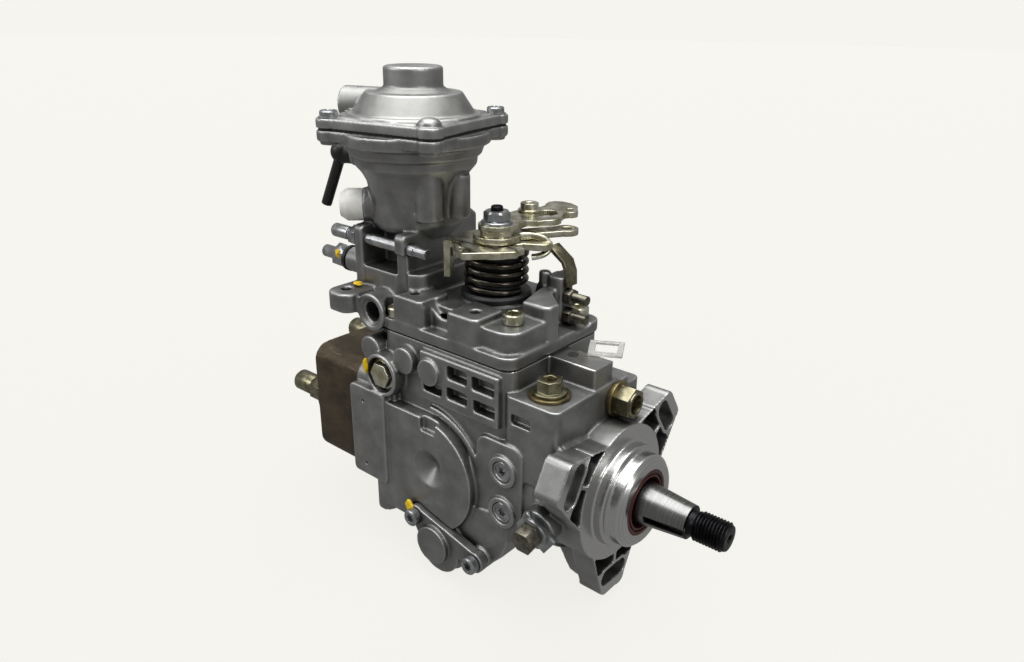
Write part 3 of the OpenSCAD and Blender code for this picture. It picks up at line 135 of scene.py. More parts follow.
def cast_aluminium(name, dark, light, machined=False):
    """Pressure die-cast aluminium, blasted. The grit leaves a 0.5 mm grain and a soft
    satin sheen; sharp edges get a painted highlight, and corners and hollows get painted shade."""
    material, tree, shader, where = start_material(name, Metallic=1.0)
    patches = add(tree, "ShaderNodeTexNoise", {"Vector": where, "Scale": scale_for(11.11),
        "Detail": 5.0, "Roughness": 0.6}).outputs["Fac"]
    grain = add(tree, "ShaderNodeTexNoise", {"Vector": where, "Scale": scale_for(0.4545),
        "Detail": 2.0})
    skin = add(tree, "ShaderNodeTexNoise", {"Vector": where, "Scale": scale_for(3.846),
        "Detail": 3.0})
    colour = two_tone(tree, patches, dark, light)
    # A painted highlight on sharp edges and painted shade in concave corners follow how sharply the
    # surface turns
    turn = add(tree, "ShaderNodeNewGeometry").outputs["Pointiness"]
    painted_edge_highlight = add(tree, "ShaderNodeMapRange", {"Value": turn, "From Min": 0.505, "From Max": 0.56,
        "To Min": 0.0, "To Max": 0.55}).outputs["Result"]
    # Concave corners get darker: painted shade
    painted_corner_shade = add(tree, "ShaderNodeMapRange", {"Value": turn, "From Min": 0.4, "From Max": 0.495,
        "To Min": 0.62, "To Max": 1.0}).outputs["Result"]
    # Ambient occlusion darkens the hollows: painted shade
    painted_hollow_shade = add(tree, "ShaderNodeAmbientOcclusion", {"Distance": 9 * MM}, samples=6)
    shade = add(tree, "ShaderNodeMapRange", {"Value": painted_hollow_shade.outputs["AO"], "From Min": 0.15,
        "From Max": 0.95, "To Min": 0.42, "To Max": 1.0}).outputs["Result"]
    # Mixes the painted highlight into the sharp edges
    colour = add(tree, "ShaderNodeMix", {"Factor": painted_edge_highlight, 6: colour, 7: linear("#cfd0d1")},
        data_type="RGBA").outputs[2]
    # The painted shade of corners and hollows darkens the colour
    both = add(tree, "ShaderNodeMath", {0: painted_corner_shade, 1: shade}, operation="MULTIPLY").outputs[0]
    colour = add(tree, "ShaderNodeMix", {"Factor": 1.0, 6: colour, 7: both},
        data_type="RGBA", blend_type="MULTIPLY").outputs[2]
    rough = add(tree, "ShaderNodeMapRange", {"Value": patches, "From Min": 0.3,
        "From Max": 0.7, "To Min": 0.4, "To Max": 0.52}).outputs["Result"]
    height = add(tree, "ShaderNodeMath", {0: grain.outputs["Fac"], 1: 0.45, 2: skin.outputs["Fac"]},
        operation="MULTIPLY_ADD").outputs[0]
    bump = add(tree, "ShaderNodeBump", {"Height": height, "Strength": 0.22,
        "Distance": 0.25 * MM}).outputs["Normal"]
    if machined:
        # Turned nose and pilot, faced flange and milled land, known by where they lie
        place = add(tree, "ShaderNodeSeparateXYZ", {"Vector": where}).outputs
        nose = add(tree, "ShaderNodeMath", {0: place["X"], 1: NOSE_FROM_X * MM},
            operation="GREATER_THAN")
        high = add(tree, "ShaderNodeMath", {0: place["Z"], 1: LAND_FROM_Z * MM},
            operation="GREATER_THAN")
        ahead = add(tree, "ShaderNodeMath", {0: place["X"], 1: LAND_FROM_X * MM},
            operation="GREATER_THAN")
        land = add(tree, "ShaderNodeMath", {0: high.outputs[0], 1: ahead.outputs[0]},
            operation="MULTIPLY")
        cut = add(tree, "ShaderNodeMath", {0: nose.outputs[0], 1: land.outputs[0]},
            operation="MAXIMUM").outputs[0]
        across = add(tree, "ShaderNodeCombineXYZ", {"X": place["Y"], "Y": place["Z"]})
        radius = add(tree, "ShaderNodeVectorMath", {0: across.outputs[0]}, operation="LENGTH")
        lathe = add(tree, "ShaderNodeCombineXYZ", {"X": place["X"], "Y": radius.outputs["Value"]})
        rings = add(tree, "ShaderNodeTexNoise", {"Vector": lathe.outputs[0],
            "Scale": scale_for(0.3846), "Detail": 2.0}).outputs["Fac"]
        bright = two_tone(tree, rings, "#b4b4b3", "#cdcdcb", 0.3, 0.7)
        ring_bump = add(tree, "ShaderNodeBump", {"Height": rings, "Strength": 0.05,
            "Distance": 0.1 * MM}).outputs["Normal"]
        colour = add(tree, "ShaderNodeMix", {"Factor": cut, 6: colour, 7: bright},
            data_type="RGBA").outputs[2]
        rough = add(tree, "ShaderNodeMix", {"Factor": cut, 2: rough, 3: 0.26}).outputs[0]
        bump = add(tree, "ShaderNodeMix", {"Factor": cut, 4: bump, 5: ring_bump},
            data_type="VECTOR").outputs[1]
    tree.links.new(colour, shader.inputs["Base Color"])
    tree.links.new(rough, shader.inputs["Roughness"])
    tree.links.new(bump, shader.inputs["Normal"])
    return material


def plated_steel(name, dark, light, rough_low, rough_high, patch_mm=4.0, grain=0.05):
    """Steel under a thin plating or oxide. The coat varies in tint over a few millimetres
    and keeps the fine scratches of the part below."""
    material, tree, shader, where = start_material(name, Metallic=1.0)
    tint = add(tree, "ShaderNodeTexNoise", {"Vector": where, "Scale": scale_for(patch_mm),
        "Detail": 4.0, "Roughness": 0.55}).outputs["Fac"]
    scratch = add(tree, "ShaderNodeTexNoise", {"Vector": where, "Scale": scale_for(0.5556),
        "Detail": 2.0}).outputs["Fac"]
    rough = add(tree, "ShaderNodeMapRange", {"Value": tint, "From Min": 0.3, "From Max": 0.7,
        "To Min": rough_low, "To Max": rough_high}).outputs["Result"]
    bump = add(tree, "ShaderNodeBump", {"Height": scratch, "Strength": grain,
        "Distance": 0.1 * MM}).outputs["Normal"]
    tree.links.new(two_tone(tree, tint, dark, light), shader.inputs["Base Color"])
    tree.links.new(rough, shader.inputs["Roughness"])
    tree.links.new(bump, shader.inputs["Normal"])
    return material


def ground_steel(name, dark, light, axis, roughness):
    """Hardened steel, ground on centres. Grinding leaves fine lines round the axis."""
    material, tree, shader, where = start_material(name, Metallic=1.0)
    stretch = [scale_for(16.67)] * 3
    stretch[axis] = scale_for(0.15385)
    lines = add(tree, "ShaderNodeMapping", {"Vector": where, "Scale": stretch})
    marks = add(tree, "ShaderNodeTexNoise", {"Vector": lines.outputs[0], "Scale": 1.0,
        "Detail": 3.0}).outputs["Fac"]
    rough = add(tree, "ShaderNodeMapRange", {"Value": marks, "From Min": 0.3, "From Max": 0.7,
        "To Min": roughness, "To Max": roughness + 0.1}).outputs["Result"]
    tree.links.new(two_tone(tree, marks, dark, light), shader.inputs["Base Color"])
    tree.links.new(rough, shader.inputs["Roughness"])
    bump = add(tree, "ShaderNodeBump", {"Height": marks, "Strength": 0.08,
        "Distance": 0.1 * MM}).outputs["Normal"]
    tree.links.new(bump, shader.inputs["Normal"])
    return material


def moulded(name, dark, light, roughness, grain_mm, depth=0.1, **sockets):
    """Moulded plastic or rubber with a fine eroded grain from its tool."""
    material, tree, shader, where = start_material(name, Roughness=roughness, **sockets)
    grain = add(tree, "ShaderNodeTexNoise", {"Vector": where, "Scale": scale_for(grain_mm),
        "Detail": 3.0}).outputs["Fac"]
    soft = add(tree, "ShaderNodeTexNoise", {"Vector": where,
        "Scale": scale_for(8.333)}).outputs["Fac"]
    tree.links.new(two_tone(tree, soft, dark, light), shader.inputs["Base Color"])
    bump = add(tree, "ShaderNodeBump", {"Height": grain, "Strength": depth,
        "Distance": 0.1 * MM}).outputs["Normal"]
    tree.links.new(bump, shader.inputs["Normal"])
    return material


def oiled_brown_steel(name):
    """Forged steel head, browned in the furnace. The oxide is uneven and rubbed back
    to metal in short streaks."""
    material, tree, shader, where = start_material(name, Metallic=0.75)
    cloud = add(tree, "ShaderNodeTexNoise", {"Vector": where, "Scale": scale_for(14.286),
        "Detail": 6.0, "Roughness": 0.65}).outputs["Fac"]
    drawn_out = add(tree, "ShaderNodeMapping", {"Vector": where,
        "Scale": [scale_for(11.11), scale_for(2), scale_for(0.6667)]})
    streak = add(tree, "ShaderNodeTexNoise", {"Vector": drawn_out.outputs[0], "Scale": 1.0,
        "Detail": 4.0}).outputs["Fac"]
    base = two_tone(tree, cloud, "#3a3228", "#5d5140", 0.35, 0.7)
    rubbed = add(tree, "ShaderNodeMapRange", {"Value": streak, "From Min": 0.6,
        "From Max": 0.75, "To Min": 0.0, "To Max": 0.5}).outputs["Result"]
    rough = add(tree, "ShaderNodeMapRange", {"Value": cloud, "From Min": 0.3, "From Max": 0.7,
        "To Min": 0.42, "To Max": 0.6}).outputs["Result"]
    base = add(tree, "ShaderNodeMix", {"Factor": rubbed, 6: base, 7: linear("#857c6c")},
        data_type="RGBA").outputs[2]
    tree.links.new(base, shader.inputs["Base Color"])
    tree.links.new(rough, shader.inputs["Roughness"])
    bump = add(tree, "ShaderNodeBump", {"Height": cloud, "Strength": 0.3,
        "Distance": 0.2 * MM}).outputs["Normal"]
    tree.links.new(bump, shader.inputs["Normal"])
    return material


# Castings: the housing with its machined faces, the dull covers, and the boost cover in a lighter
# copy of the cover material that paints the light falling on its top
casting = cast_aluminium("die-cast aluminium, machined faces", "#858584", "#999998", True)
casting_cover = cast_aluminium("die-cast aluminium", "#7e7e7d", "#929291")
painted_light_casting = cast_aluminium("die-cast aluminium, lighter copy for painted light", "#929290", "#a4a4a2")
# Plated steel: chromate is straw on stampings, olive on fittings and faded on the screws
yellow_zinc = plated_steel("yellow chromated zinc", "#a5a183", "#d6d4c6", 0.22, 0.36, 6.0)
olive_zinc = plated_steel("olive chromated zinc", "#67624c", "#8e8a74", 0.24, 0.38, 4.0)
dull_steel = plated_steel("weathered adjusting steel", "#55524a", "#7d796c", 0.28, 0.42, 3.0)
clear_zinc = plated_steel("clear zinc", "#8c8e90", "#b0b2b4", 0.3, 0.4, grain=0.02)
# Blackened, oiled, bare, sintered, ground and hardened metals
black_oxide = plated_steel("black oxide steel", "#1d1d1f", "#2f2f31", 0.32, 0.45, 3.0)
spring_wire = plated_steel("oiled spring wire", "#2f2c28", "#57524a", 0.16, 0.24, 6.0)
plain_steel = plated_steel("bare machined steel", "#8b8c8e", "#b0b1b3", 0.28, 0.4)
aged_brass = plated_steel("aged copper washer", "#635a3e", "#857a58", 0.28, 0.4)
bronze = plated_steel("sintered bronze", "#7f6337", "#a58550", 0.38, 0.5, 2.0)
shaft_steel = ground_steel("ground shaft steel", "#6d6d6d", "#8b8b8a", 0, 0.24)
pin_steel = ground_steel("ground pin steel", "#8e8f92", "#c2c3c5", 2, 0.2)
gear_steel = plated_steel("case hardened steel", "#3d3e41", "#5c5d60", 0.35, 0.5)
brown_head = oiled_brown_steel("browned steel")
# Mouldings, rubber, paper and paint
black_plastic = moulded("black glass-filled nylon", "#070707", "#0d0d0e", 0.45, 0.5)
white_plastic = moulded("white polyethylene", "#d9d8d2", "#e8e7e2", 0.38, 0.6,
    Subsurface_Weight=0.15, Subsurface_Scale=1.5 * MM)
clear_plastic = moulded("milky clear polyethylene", "#e6e6e2", "#f2f2ee", 0.25, 0.8, 0.02,
    Transmission_Weight=0.7, IOR=1.5)
black_rubber = moulded("nitrile rubber", "#101011", "#1c1c1d", 0.6, 0.4, 0.2)
brown_rubber = moulded("fluorocarbon rubber", "#3a1712", "#52231b", 0.5, 0.4, 0.2)
gasket_paper = moulded("oiled gasket paper", "#151413", "#24221f", 0.75, 0.3, 0.4)
paint_mark = moulded("yellow marking paint", "#d9b400", "#ecc713", 0.35, 0.7)

# Inside pieces that need only a material
INSIDE = {
    yellow_zinc: ["governor_lever"],
    plain_steel: ["feed_pump_plate", "solenoid_plunger", "feed_pump_ring"],
    gear_steel: ["cam_plate", "roller_ring", "feed_rotor", "drive_gear", "governor_cage",
        "flyweight_top", "flyweight_far", "flyweight_bottom", "flyweight_near"],
    pin_steel: ["boost_pin"],
    shaft_steel: ["plunger", "control_collar", "governor_shaft", "governor_sleeve",
        "timing_piston"],
    spring_wire: ["boost_spring", "timing_spring"],
    black_rubber: ["diaphragm"],
    gasket_paper: ["cover_gasket"],
    bronze: ["shaft_bush"],
}


# Pieces

def finish_piece(piece, material, nodes, body=None):
    """Gives a finished mesh its material, hides the solids it stands for and lets it ride.
    A mesh that a node tree made has its material already, and comes with None."""
    if material is not None:
        piece.data.materials.clear()
        piece.data.materials.append(material)
    if nodes:
        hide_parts(*nodes)
    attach(piece, body or BODY_OF[nodes[0]])
    return piece


def mesh_object(name, mesh):
    made = bpy.data.objects.new(name, mesh)
    bpy.context.scene.collection.objects.link(made)
    return made


def merged_copy(node, name):
    """A copy of a solid's mesh with its loose triangles joined and flat areas cleared."""
    work = bmesh.new()
    work.from_mesh(NODES[node].data)
    bmesh.ops.remove_doubles(work, verts=work.verts, dist=2e-6)
    bmesh.ops.dissolve_limit(work, angle_limit=math.radians(0.6), verts=work.verts,
        edges=work.edges)
    mesh = bpy.data.meshes.new(name)
    work.to_mesh(mesh)
    work.free()
    return mesh_object(name, mesh)


def settle(piece):
    """Applies every modifier and leaves one plain mesh."""
    bpy.context.view_layer.update()
    done = bpy.data.meshes.new_from_object(
        piece.evaluated_get(bpy.context.evaluated_depsgraph_get()))
    piece.modifiers.clear()
    old = piece.data
    piece.data = done
    bpy.data.meshes.remove(old)
    return piece


def cast_skin(node, name, material, grain, rounds, limit=190000):
    """A casting with the soft fillets and rounded edges of its mould. limit is its most
    triangles."""
    piece = merged_copy(node, name)
    skin = piece.modifiers.new("skin", "REMESH")
    skin.mode = "VOXEL"
    skin.voxel_size = grain
    settle(piece)
    # Machined seats and the thin webs of the flange keep their edges
    held = piece.vertex_groups.new(name="free to round")
    for v in piece.data.vertices:
        crisp = node == "pump_housing" and v.co.x > FLANGE_FROM_X * MM
        held.add([v.index], 0.45 if crisp else 1.0, "REPLACE")
    smooth = piece.modifiers.new("fillets", "SMOOTH")
    smooth.factor = 0.5
    smooth.iterations = rounds
    smooth.vertex_group = held.name
    settle(piece)
    count = sum(len(p.vertices) - 2 for p in piece.data.polygons)
    if count > limit:
        fewer = piece.modifiers.new("fewer", "DECIMATE")
        fewer.ratio = limit / count
        settle(piece)
    piece.data.shade_smooth()
    return finish_piece(piece, material, [node])


def break_edges(piece, width):
    """Breaks the sharp edges of a piece by that width."""
    bevel = piece.modifiers.new("edges", "BEVEL")
    bevel.width = width
    bevel.segments = 2
    bevel.limit_method = "ANGLE"
    bevel.angle_limit = BROKEN_FROM
    settle(piece)


def machined_piece(node, name, material, width):
    """A machined or pressed piece with its sharp edges broken."""
    piece = merged_copy(node, name)
    break_edges(piece, width)
    piece.data.shade_smooth()
    piece.data.set_sharp_from_angle(angle=CRISP_FROM)
    return finish_piece(piece, material, [node])


def flats(across, count=6):
    """Radius round a hexagon or other prism of that width across its flats."""
    step = 2 * math.pi / count
    return lambda t: across / 2 / math.cos((t + step / 2) % step - step / 2)


def lobes(radius, depth, count=6):
    """Radius round a star-shaped drive."""
    return lambda t: radius * (1 - depth * (0.5 - 0.5 * math.cos(count * t)))


def spun(name, rings, sides=48):
    """A shape about Z from (radius, height) pairs in millimetres. A radius may be a
    function of the angle, and radius 0 closes an end."""
    work = bmesh.new()
    loops = []
    for radius, height in rings:
        if radius == 0:
            loops.append([work.verts.new((0, 0, height * MM))])
            continue
        loop = []
        for k in range(sides):
            t = 2 * math.pi * k / sides
            reach = (radius(t) if callable(radius) else radius) * MM
            loop.append(work.verts.new((reach * math.cos(t), reach * math.sin(t), height * MM)))
        loops.append(loop)
    for low, top in zip(loops, loops[1:]):
        for k in range(sides):
            j = (k + 1) % sides
            if len(low) == 1:
                work.faces.new((low[0], top[j], top[k]))
            elif len(top) == 1:
                work.faces.new((low[k], low[j], top[0]))
            else:
                work.faces.new((low[k], low[j], top[j], top[k]))
    bmesh.ops.recalc_face_normals(work, faces=work.faces)
    mesh = bpy.data.meshes.new(name)
    work.to_mesh(mesh)
    work.free()
    return mesh


for material, names in INSIDE.items():
    for node in names:
        data = NODES[node].data
        data.materials.clear()
        data.materials.append(material)

# Castings
cast_skin("pump_housing", "housing_casting", casting, 0.56 * MM, 6, 196000)
cast_skin("governor_cover", "cover_casting", casting_cover, 0.66 * MM, 6)
# The boost cover takes the lighter copy of the cover material: painted light from above
cast_skin("diaphragm_cover", "boost_cover_casting", painted_light_casting, 0.55 * MM, 7)
cast_skin("timing_cover", "timing_cover_casting", casting_cover, 0.4 * MM, 5)
cast_skin("timing_rear_cover", "rear_timing_cover_casting", casting_cover, 0.5 * MM, 5)
cast_skin("distributor_head", "head_forging", brown_head, 0.75 * MM, 5)
cast_skin("vent_elbow", "vent_elbow_moulding", black_plastic, 0.4 * MM, 6)

# Pressed, turned and moulded pieces
EDGED_PIECES = [
    ("throttle_cup", yellow_zinc, 0.35),
    ("link_bracket", yellow_zinc, 0.3),
    ("stop_bracket", olive_zinc, 0.3),
    ("lever_clamp_screw", yellow_zinc, 0.35),
    ("inlet_plug", olive_zinc, 0.3),
    ("pressure_valve", olive_zinc, 0.35),
    ("hex_plug", yellow_zinc, 0.4),
    ("seal_washers", aged_brass, 0.25),
    ("head_center_plug", olive_zinc, 0.35),
    ("delivery_valve_holders", olive_zinc, 0.35),
    ("fuel_cutoff_solenoid", clear_zinc, 0.4),
    ("transit_cap", white_plastic, 0.5),
    ("lock_spacer", clear_zinc, 0.3),
    ("shaft_lock_bolt", dull_steel, 0.4),
    ("spring_seat", black_plastic, 0.4),
    ("stop_screw", plain_steel, 0.3),
    ("full_load_screw", clear_zinc, 0.3),
    ("speed_screws", dull_steel, 0.3),
    ("shaft_seal", brown_rubber, 0.2),
]
for node, material, width in EDGED_PIECES:
    machined_piece(node, node + "_finished", material, width * MM)


# Fasteners, springs, threads

def fastener_tree():
    """Puts one screw on every point, turned to the point's own direction."""
    tree = bpy.data.node_groups.new("screws in their holes", "GeometryNodeTree")
    face = tree.interface
    face.new_socket("Geometry", in_out="OUTPUT", socket_type="NodeSocketGeometry")
    face.new_socket("Holes", in_out="INPUT", socket_type="NodeSocketGeometry")
    face.new_socket("Screw", in_out="INPUT", socket_type="NodeSocketObject")
    face.new_socket("Finish", in_out="INPUT", socket_type="NodeSocketMaterial")
    face.new_socket("Spread of turns", in_out="INPUT", socket_type="NodeSocketFloat")
    given = add(tree, "NodeGroupInput").outputs
    pattern = add(tree, "GeometryNodeObjectInfo", {"Object": given["Screw"]})
    facing = add(tree, "GeometryNodeInputNamedAttribute", {"Name": "facing"},
        data_type="FLOAT_VECTOR").outputs["Attribute"]
    upright = add(tree, "FunctionNodeAlignEulerToVector", {"Vector": facing}, axis="Z")
    chance = add(tree, "FunctionNodeRandomValue", {2: 0.0, 3: given["Spread of turns"],
        "Seed": 5}, data_type="FLOAT").outputs[1]
    about = add(tree, "ShaderNodeCombineXYZ", {"Z": chance}).outputs[0]
    tightened = add(tree, "FunctionNodeRotateEuler", {"Rotation": upright.outputs[0],
        "Rotate By": about}, space="LOCAL")
    placed = add(tree, "GeometryNodeInstanceOnPoints", {"Points": given["Holes"],
        "Instance": pattern.outputs["Geometry"], "Rotation": tightened.outputs[0]})
    solid = add(tree, "GeometryNodeRealizeInstances", {0: placed.outputs[0]})
    coated = add(tree, "GeometryNodeSetMaterial", {0: solid.outputs[0],
        "Material": given["Finish"]})
    add(tree, "NodeGroupOutput", {0: coated.outputs[0]})
    return tree


SCREW_TREE = fastener_tree()


def fasteners(name, material, rings, places, node):
    """Screws of one turned form. places are (x, y, z) in millimetres with a direction."""
    pattern = mesh_object(name + "_pattern", spun(name + "_pattern", rings))
    pattern.data.set_sharp_from_angle(angle=BRIGHT_CRISP_FROM)
    holes = bpy.data.meshes.new(name)
    holes.from_pydata([[c * MM for c in place] for place, _ in places], [], [])
    facing = holes.attributes.new("facing", "FLOAT_VECTOR", "POINT")
    for item, (_, direction) in zip(facing.data, places):
        item.vector = direction
    piece = mesh_object(name, holes)
    modifier = piece.modifiers.new("screws", "NODES")
    modifier.node_group = SCREW_TREE
    given = {"Screw": pattern, "Finish": material, "Spread of turns": 1.0}
    for item in SCREW_TREE.interface.items_tree:
        if item.in_out == "INPUT" and item.name in given:
            modifier[item.identifier] = given[item.name]
    settle(piece)
    bpy.data.objects.remove(pattern)
    return finish_piece(piece, None, [node])


def turned(name, material, rings, place, axis, nodes, body=None):
    """One turned piece in its place. Heights run along the axis from that place, in mm."""
    mesh = spun(name, rings)
    aim = Vector(axis).to_track_quat("Z", "Y").to_matrix().to_4x4()
    mesh.transform(Matrix.Translation(Vector(place) * MM) @ aim)
    piece = mesh_object(name, mesh)
    piece.data.shade_smooth()
    piece.data.set_sharp_from_angle(angle=BRIGHT_CRISP_FROM)
    return finish_piece(piece, material, nodes, body)


def arc(centre, radius, start, end, steps=14):
    """Points along an arc, angles in degrees."""
    return [(centre[0] + radius * math.cos(math.radians(start + (end - start) * k / steps)),
        centre[1] + radius * math.sin(math.radians(start + (end - start) * k / steps)))
        for k in range(steps + 1)]


def from_curve(name, curve):
    """The plain mesh of a curve, which is then removed."""
    made = bpy.data.objects.new(name, curve)
    bpy.context.scene.collection.objects.link(made)
    bpy.context.view_layer.update()
    mesh = bpy.data.meshes.new_from_object(
        made.evaluated_get(bpy.context.evaluated_depsgraph_get()))
    bpy.data.objects.remove(made)
    bpy.data.curves.remove(curve)
    piece = mesh_object(name, mesh)
    piece.data.set_sharp_from_angle(angle=BRIGHT_CRISP_FROM)
    return piece


def stamped_plate(name, material, outline, holes, level, place, nodes, body=None, edge=0.3):
    """A flat stamping with rounded edges. level is its lower and upper height in mm."""
    curve = bpy.data.curves.new(name, "CURVE")
    curve.dimensions = "2D"
    curve.fill_mode = "BOTH"
    curve.extrude = ((level[1] - level[0]) / 2 - edge) * MM
    curve.bevel_depth = edge * MM
    curve.bevel_resolution = 2
    curve.offset = -edge * MM
    for loop in [outline] + holes:
        spline = curve.splines.new("POLY")
        spline.points.add(len(loop) - 1)
        for point, (x, y) in zip(spline.points, loop):
            point.co = (x * MM, y * MM, 0, 1)
        spline.use_cyclic_u = True
    piece = from_curve(name, curve)
    piece.data.transform(Matrix.Translation(
        Vector((place[0], place[1], (level[0] + level[1]) / 2)) * MM))
    return finish_piece(piece, material, nodes, body)


def bent_strap(name, material, path, width, thickness, body):
    """A strap bent along a path of points in mm, its width standing upright."""
    curve = bpy.data.curves.new(name, "CURVE")
    curve.dimensions = "3D"
    curve.extrude = (width - thickness) / 2 * MM
    curve.bevel_depth = thickness / 2 * MM
    curve.bevel_resolution = 3
    curve.use_fill_caps = True
    spline = curve.splines.new("NURBS")
    spline.points.add(len(path) - 1)
    for point, spot in zip(spline.points, path):
        point.co = (spot[0] * MM, spot[1] * MM, spot[2] * MM, 1)
    spline.order_u = 3
    spline.use_endpoint_u = True
    spline.resolution_u = 8
    piece = from_curve(name, curve)
    piece.data.shade_smooth()
    return finish_piece(piece, material, [], body)


def dab(name, place, size):
    """A dab of marking paint, an uneven low lump."""
    bpy.ops.mesh.primitive_ico_sphere_add(subdivisions=4, radius=1)
    piece = bpy.context.object
    piece.name = name
    for v in piece.data.vertices:
        wave = 1 + 0.16 * math.sin(3.1 * v.co.x + 2) * math.cos(4.3 * v.co.z + place[0])
        v.co = [(place[i] + v.co[i] * size[i] * wave) * MM for i in range(3)]
    piece.data.shade_smooth()
    finish_piece(piece, paint_mark, [], "housing")


# Throttle lever, its nut and stud, and the spring's cup. Outlines are seen from above, in mm
# from the throttle shaft. The lever is waisted where the cover comes close at full throttle.
lever_outline = arc((0, 0), 9, 190, 355) + [(7.6, 13), (12.4, 16.4)] + arc((9.6, 26), 7.4,
    -50, 50, 8) + [(12.2, 37.4)] + arc((10.6, 43.6), 4.4, -60, 50, 8) + [(8, 54.4), (2, 57.4),
    (-4, 57.6), (-7.6, 55.6), (-9, 52), (-8, 48.4), (-5.6, 44), (-5.4, 40.4), (-7.4, 36),
    (-9.8, 28)]
lever_oval = [(5.2 + 5.4 * x, 31.4 + 6.8 * y) for x, y in arc((0, 0), 1, 0, 350, 35)]
lever_holes = [arc((0, 0), 5.1, 0, 345, 23), lever_oval, arc((-3.6, 29), 2.5, 0, 340, 17),
    arc((9.4, 45.6), 2.2, 0, 340, 17)]
stamped_plate("throttle_lever_finished", yellow_zinc, lever_outline, lever_holes, (111, 114),
    THROTTLE_AT, ["throttle_lever"])
cup_outline = arc((0, 0), 21.6, 100, 248, 20) + [(-5.2, -21), (-3.8, -19.6), (-2, -20),
    (-0.6, -25)] + arc((2.4, -24.6), 2.6, 180, 300, 6) + arc((16.8, -8.4), 2.8, -40, 80, 6) + [
    (14.6, -2.4), (12.4, -2), (11.6, 0.4), (13.2, 3.4)] + arc((18, 12), 5.2, -70, 120, 10) + [
    (12.6, 12.6), (10.4, 14), (8.6, 18)]
cup_holes = [arc((0, 0), 7.4, 0, 345, 23), arc((5.3, -8.2), 2.9, 0, 345, 23)]
stamped_plate("throttle_cup_plate", yellow_zinc, cup_outline, cup_holes, (102.35, 105.75),
    THROTTLE_AT, [], "throttle", 0.5)
bent_strap("spring_strap", yellow_zinc, [(-77, 5, 106.6), (-73, 9, 107.8), (-67, 15, 107.6),
    (-61.6, 18.6, 105.4), (-59.6, 17, 101.4), (-61.4, 12.6, 99), (-64.6, 9.6, 98.6)], 3.4, 2.4,
    "throttle")
turned("throttle_shaft_finished", plain_steel, [(0, 62.5), (5, 62.5), (5, 115), (3.1, 115.2),
    (3.1, 119), (0, 119)], (*THROTTLE_AT, 0), UP, ["throttle_shaft"])
turned("throttle_stud", black_oxide, [(0, 118), (2.9, 118), (2.9, 121.9), (2.5, 122.4),
    (1.8, 122.4), (flats(3), 122.2), (flats(2.9), 120.4), (0, 120.2)], (*THROTTLE_AT, 0), UP,
    [], "throttle")
turned("lever_nut_finished", clear_zinc, [(5.05, 0), (7.6, 0), (7.6, 1), (7.2, 1.4), (5.8, 1.4),
    (5.5, 1.7), (flats(11.4), 1.9), (flats(11.4), 5.2), (5.4, 6.1), (3.3, 6.3), (3, 5.9),
    (3, 1), (5.05, 0.9), (5.05, 0)], (*THROTTLE_AT, 114), UP, ["lever_nut"])
# A black sleeve inside the return spring paints the deep shade there
turned("spring_guide_sleeve", black_plastic, [(8.6, 79.2), (12.1, 79.2), (12.1, 101.2),
    (11.6, 101.7), (8.6, 101.7), (8.6, 79.2)], (*THROTTLE_AT, 0), UP, [], "housing")

# Small pieces on the housing and the governor cover
turned("full_load_lock_ring", black_plastic, [(6.4, 0), (7.2, 0.3), (7.2, 2.4), (6.4, 2.8),
    (6.2, 2.8), (6.2, 0), (6.4, 0)], (-178, -8, 79), FORWARD, [], "housing")
clip_outline = [(-35, 19), (-20.6, 27.3), (-12.6, 12.4), (-26.6, 4.6)]
clip_opening = [(-31, 18.4), (-21.6, 23.6), (-16.6, 13.8), (-25.6, 8.8)]
stamped_plate("clear_clip", clear_plastic, clip_outline, [clip_opening], (60.1, 61.5), (0, 0),
    [], "housing", 0.4)
# A thin black disc on the land paints the shade inside a hole
turned("land_sender_hole", black_rubber, [(0, 0), (2.6, 0), (2.7, 0.05), (0, 0.12)],
    (-32.4, 1.6, 60.02), UP, [], "housing")
PAINT_DABS = [
    ((-182, -13.4, 81.5), (2.2, 1.2, 2.8)),
    ((-97.6, -44.6, -28.6), (2.9, 1.0, 3.4)),
    ((-145.4, -30.6, 77.2), (2.6, 2.2, 0.9)),
    ((-127.2, -43.6, 41.5), (0.8, 1.4, 4.2)),
]
for count, (place, size) in enumerate(PAINT_DABS):
    dab(f"paint_dab_{count}", place, size)

# Screws and plugs. Heights run from under the head, and flats or lobes shape its socket
cover_head = [(0, -18), (2.9, -18), (2.9, 0), (4.6, 0), (5, 0.4), (5, 4.4), (4.5, 5), (3.3, 5),
    (flats(5.6), 4.7), (flats(5.5), 2.2), (0, 1.8)]
cover_corners = [(-50, 30, 66.8), (-51.5, -19, 76.8), (-112, 30, 66.8), (-117, -30, 66.8)]
fasteners("cover_cap_screws", yellow_zinc, cover_head, [(spot, UP) for spot in cover_corners],
    "cover_screws")
boost_head = [(0, -9), (2.1, -9), (2.1, 0), (5.2, 0), (5.2, 0.6), (4.4, 0.8), (4.4, 2.8),
    (3.9, 3.5), (2.6, 3.6), (lobes(2.3, 0.3), 3.3), (lobes(2.2, 0.3), 1.4), (0, 1.2)]
boost_corners = [math.radians(a + 11) for a in (45, 135, 225)]
fasteners("boost_cover_screws", clear_zinc, boost_head,
    [((-132 + 41 * math.cos(a), 41 * math.sin(a), 158.95), UP) for a in boost_corners],
    "diaphragm_cover_screws")
timing_head = [(0, -14), (2.4, -14), (2.4, 0), (3.9, 0), (4.4, 0.5), (4.4, 3.6), (3.9, 4.2),
    (2.7, 4.2), (lobes(2.4, 0.3), 3.9), (lobes(2.3, 0.3), 1.8), (0, 1.5)]
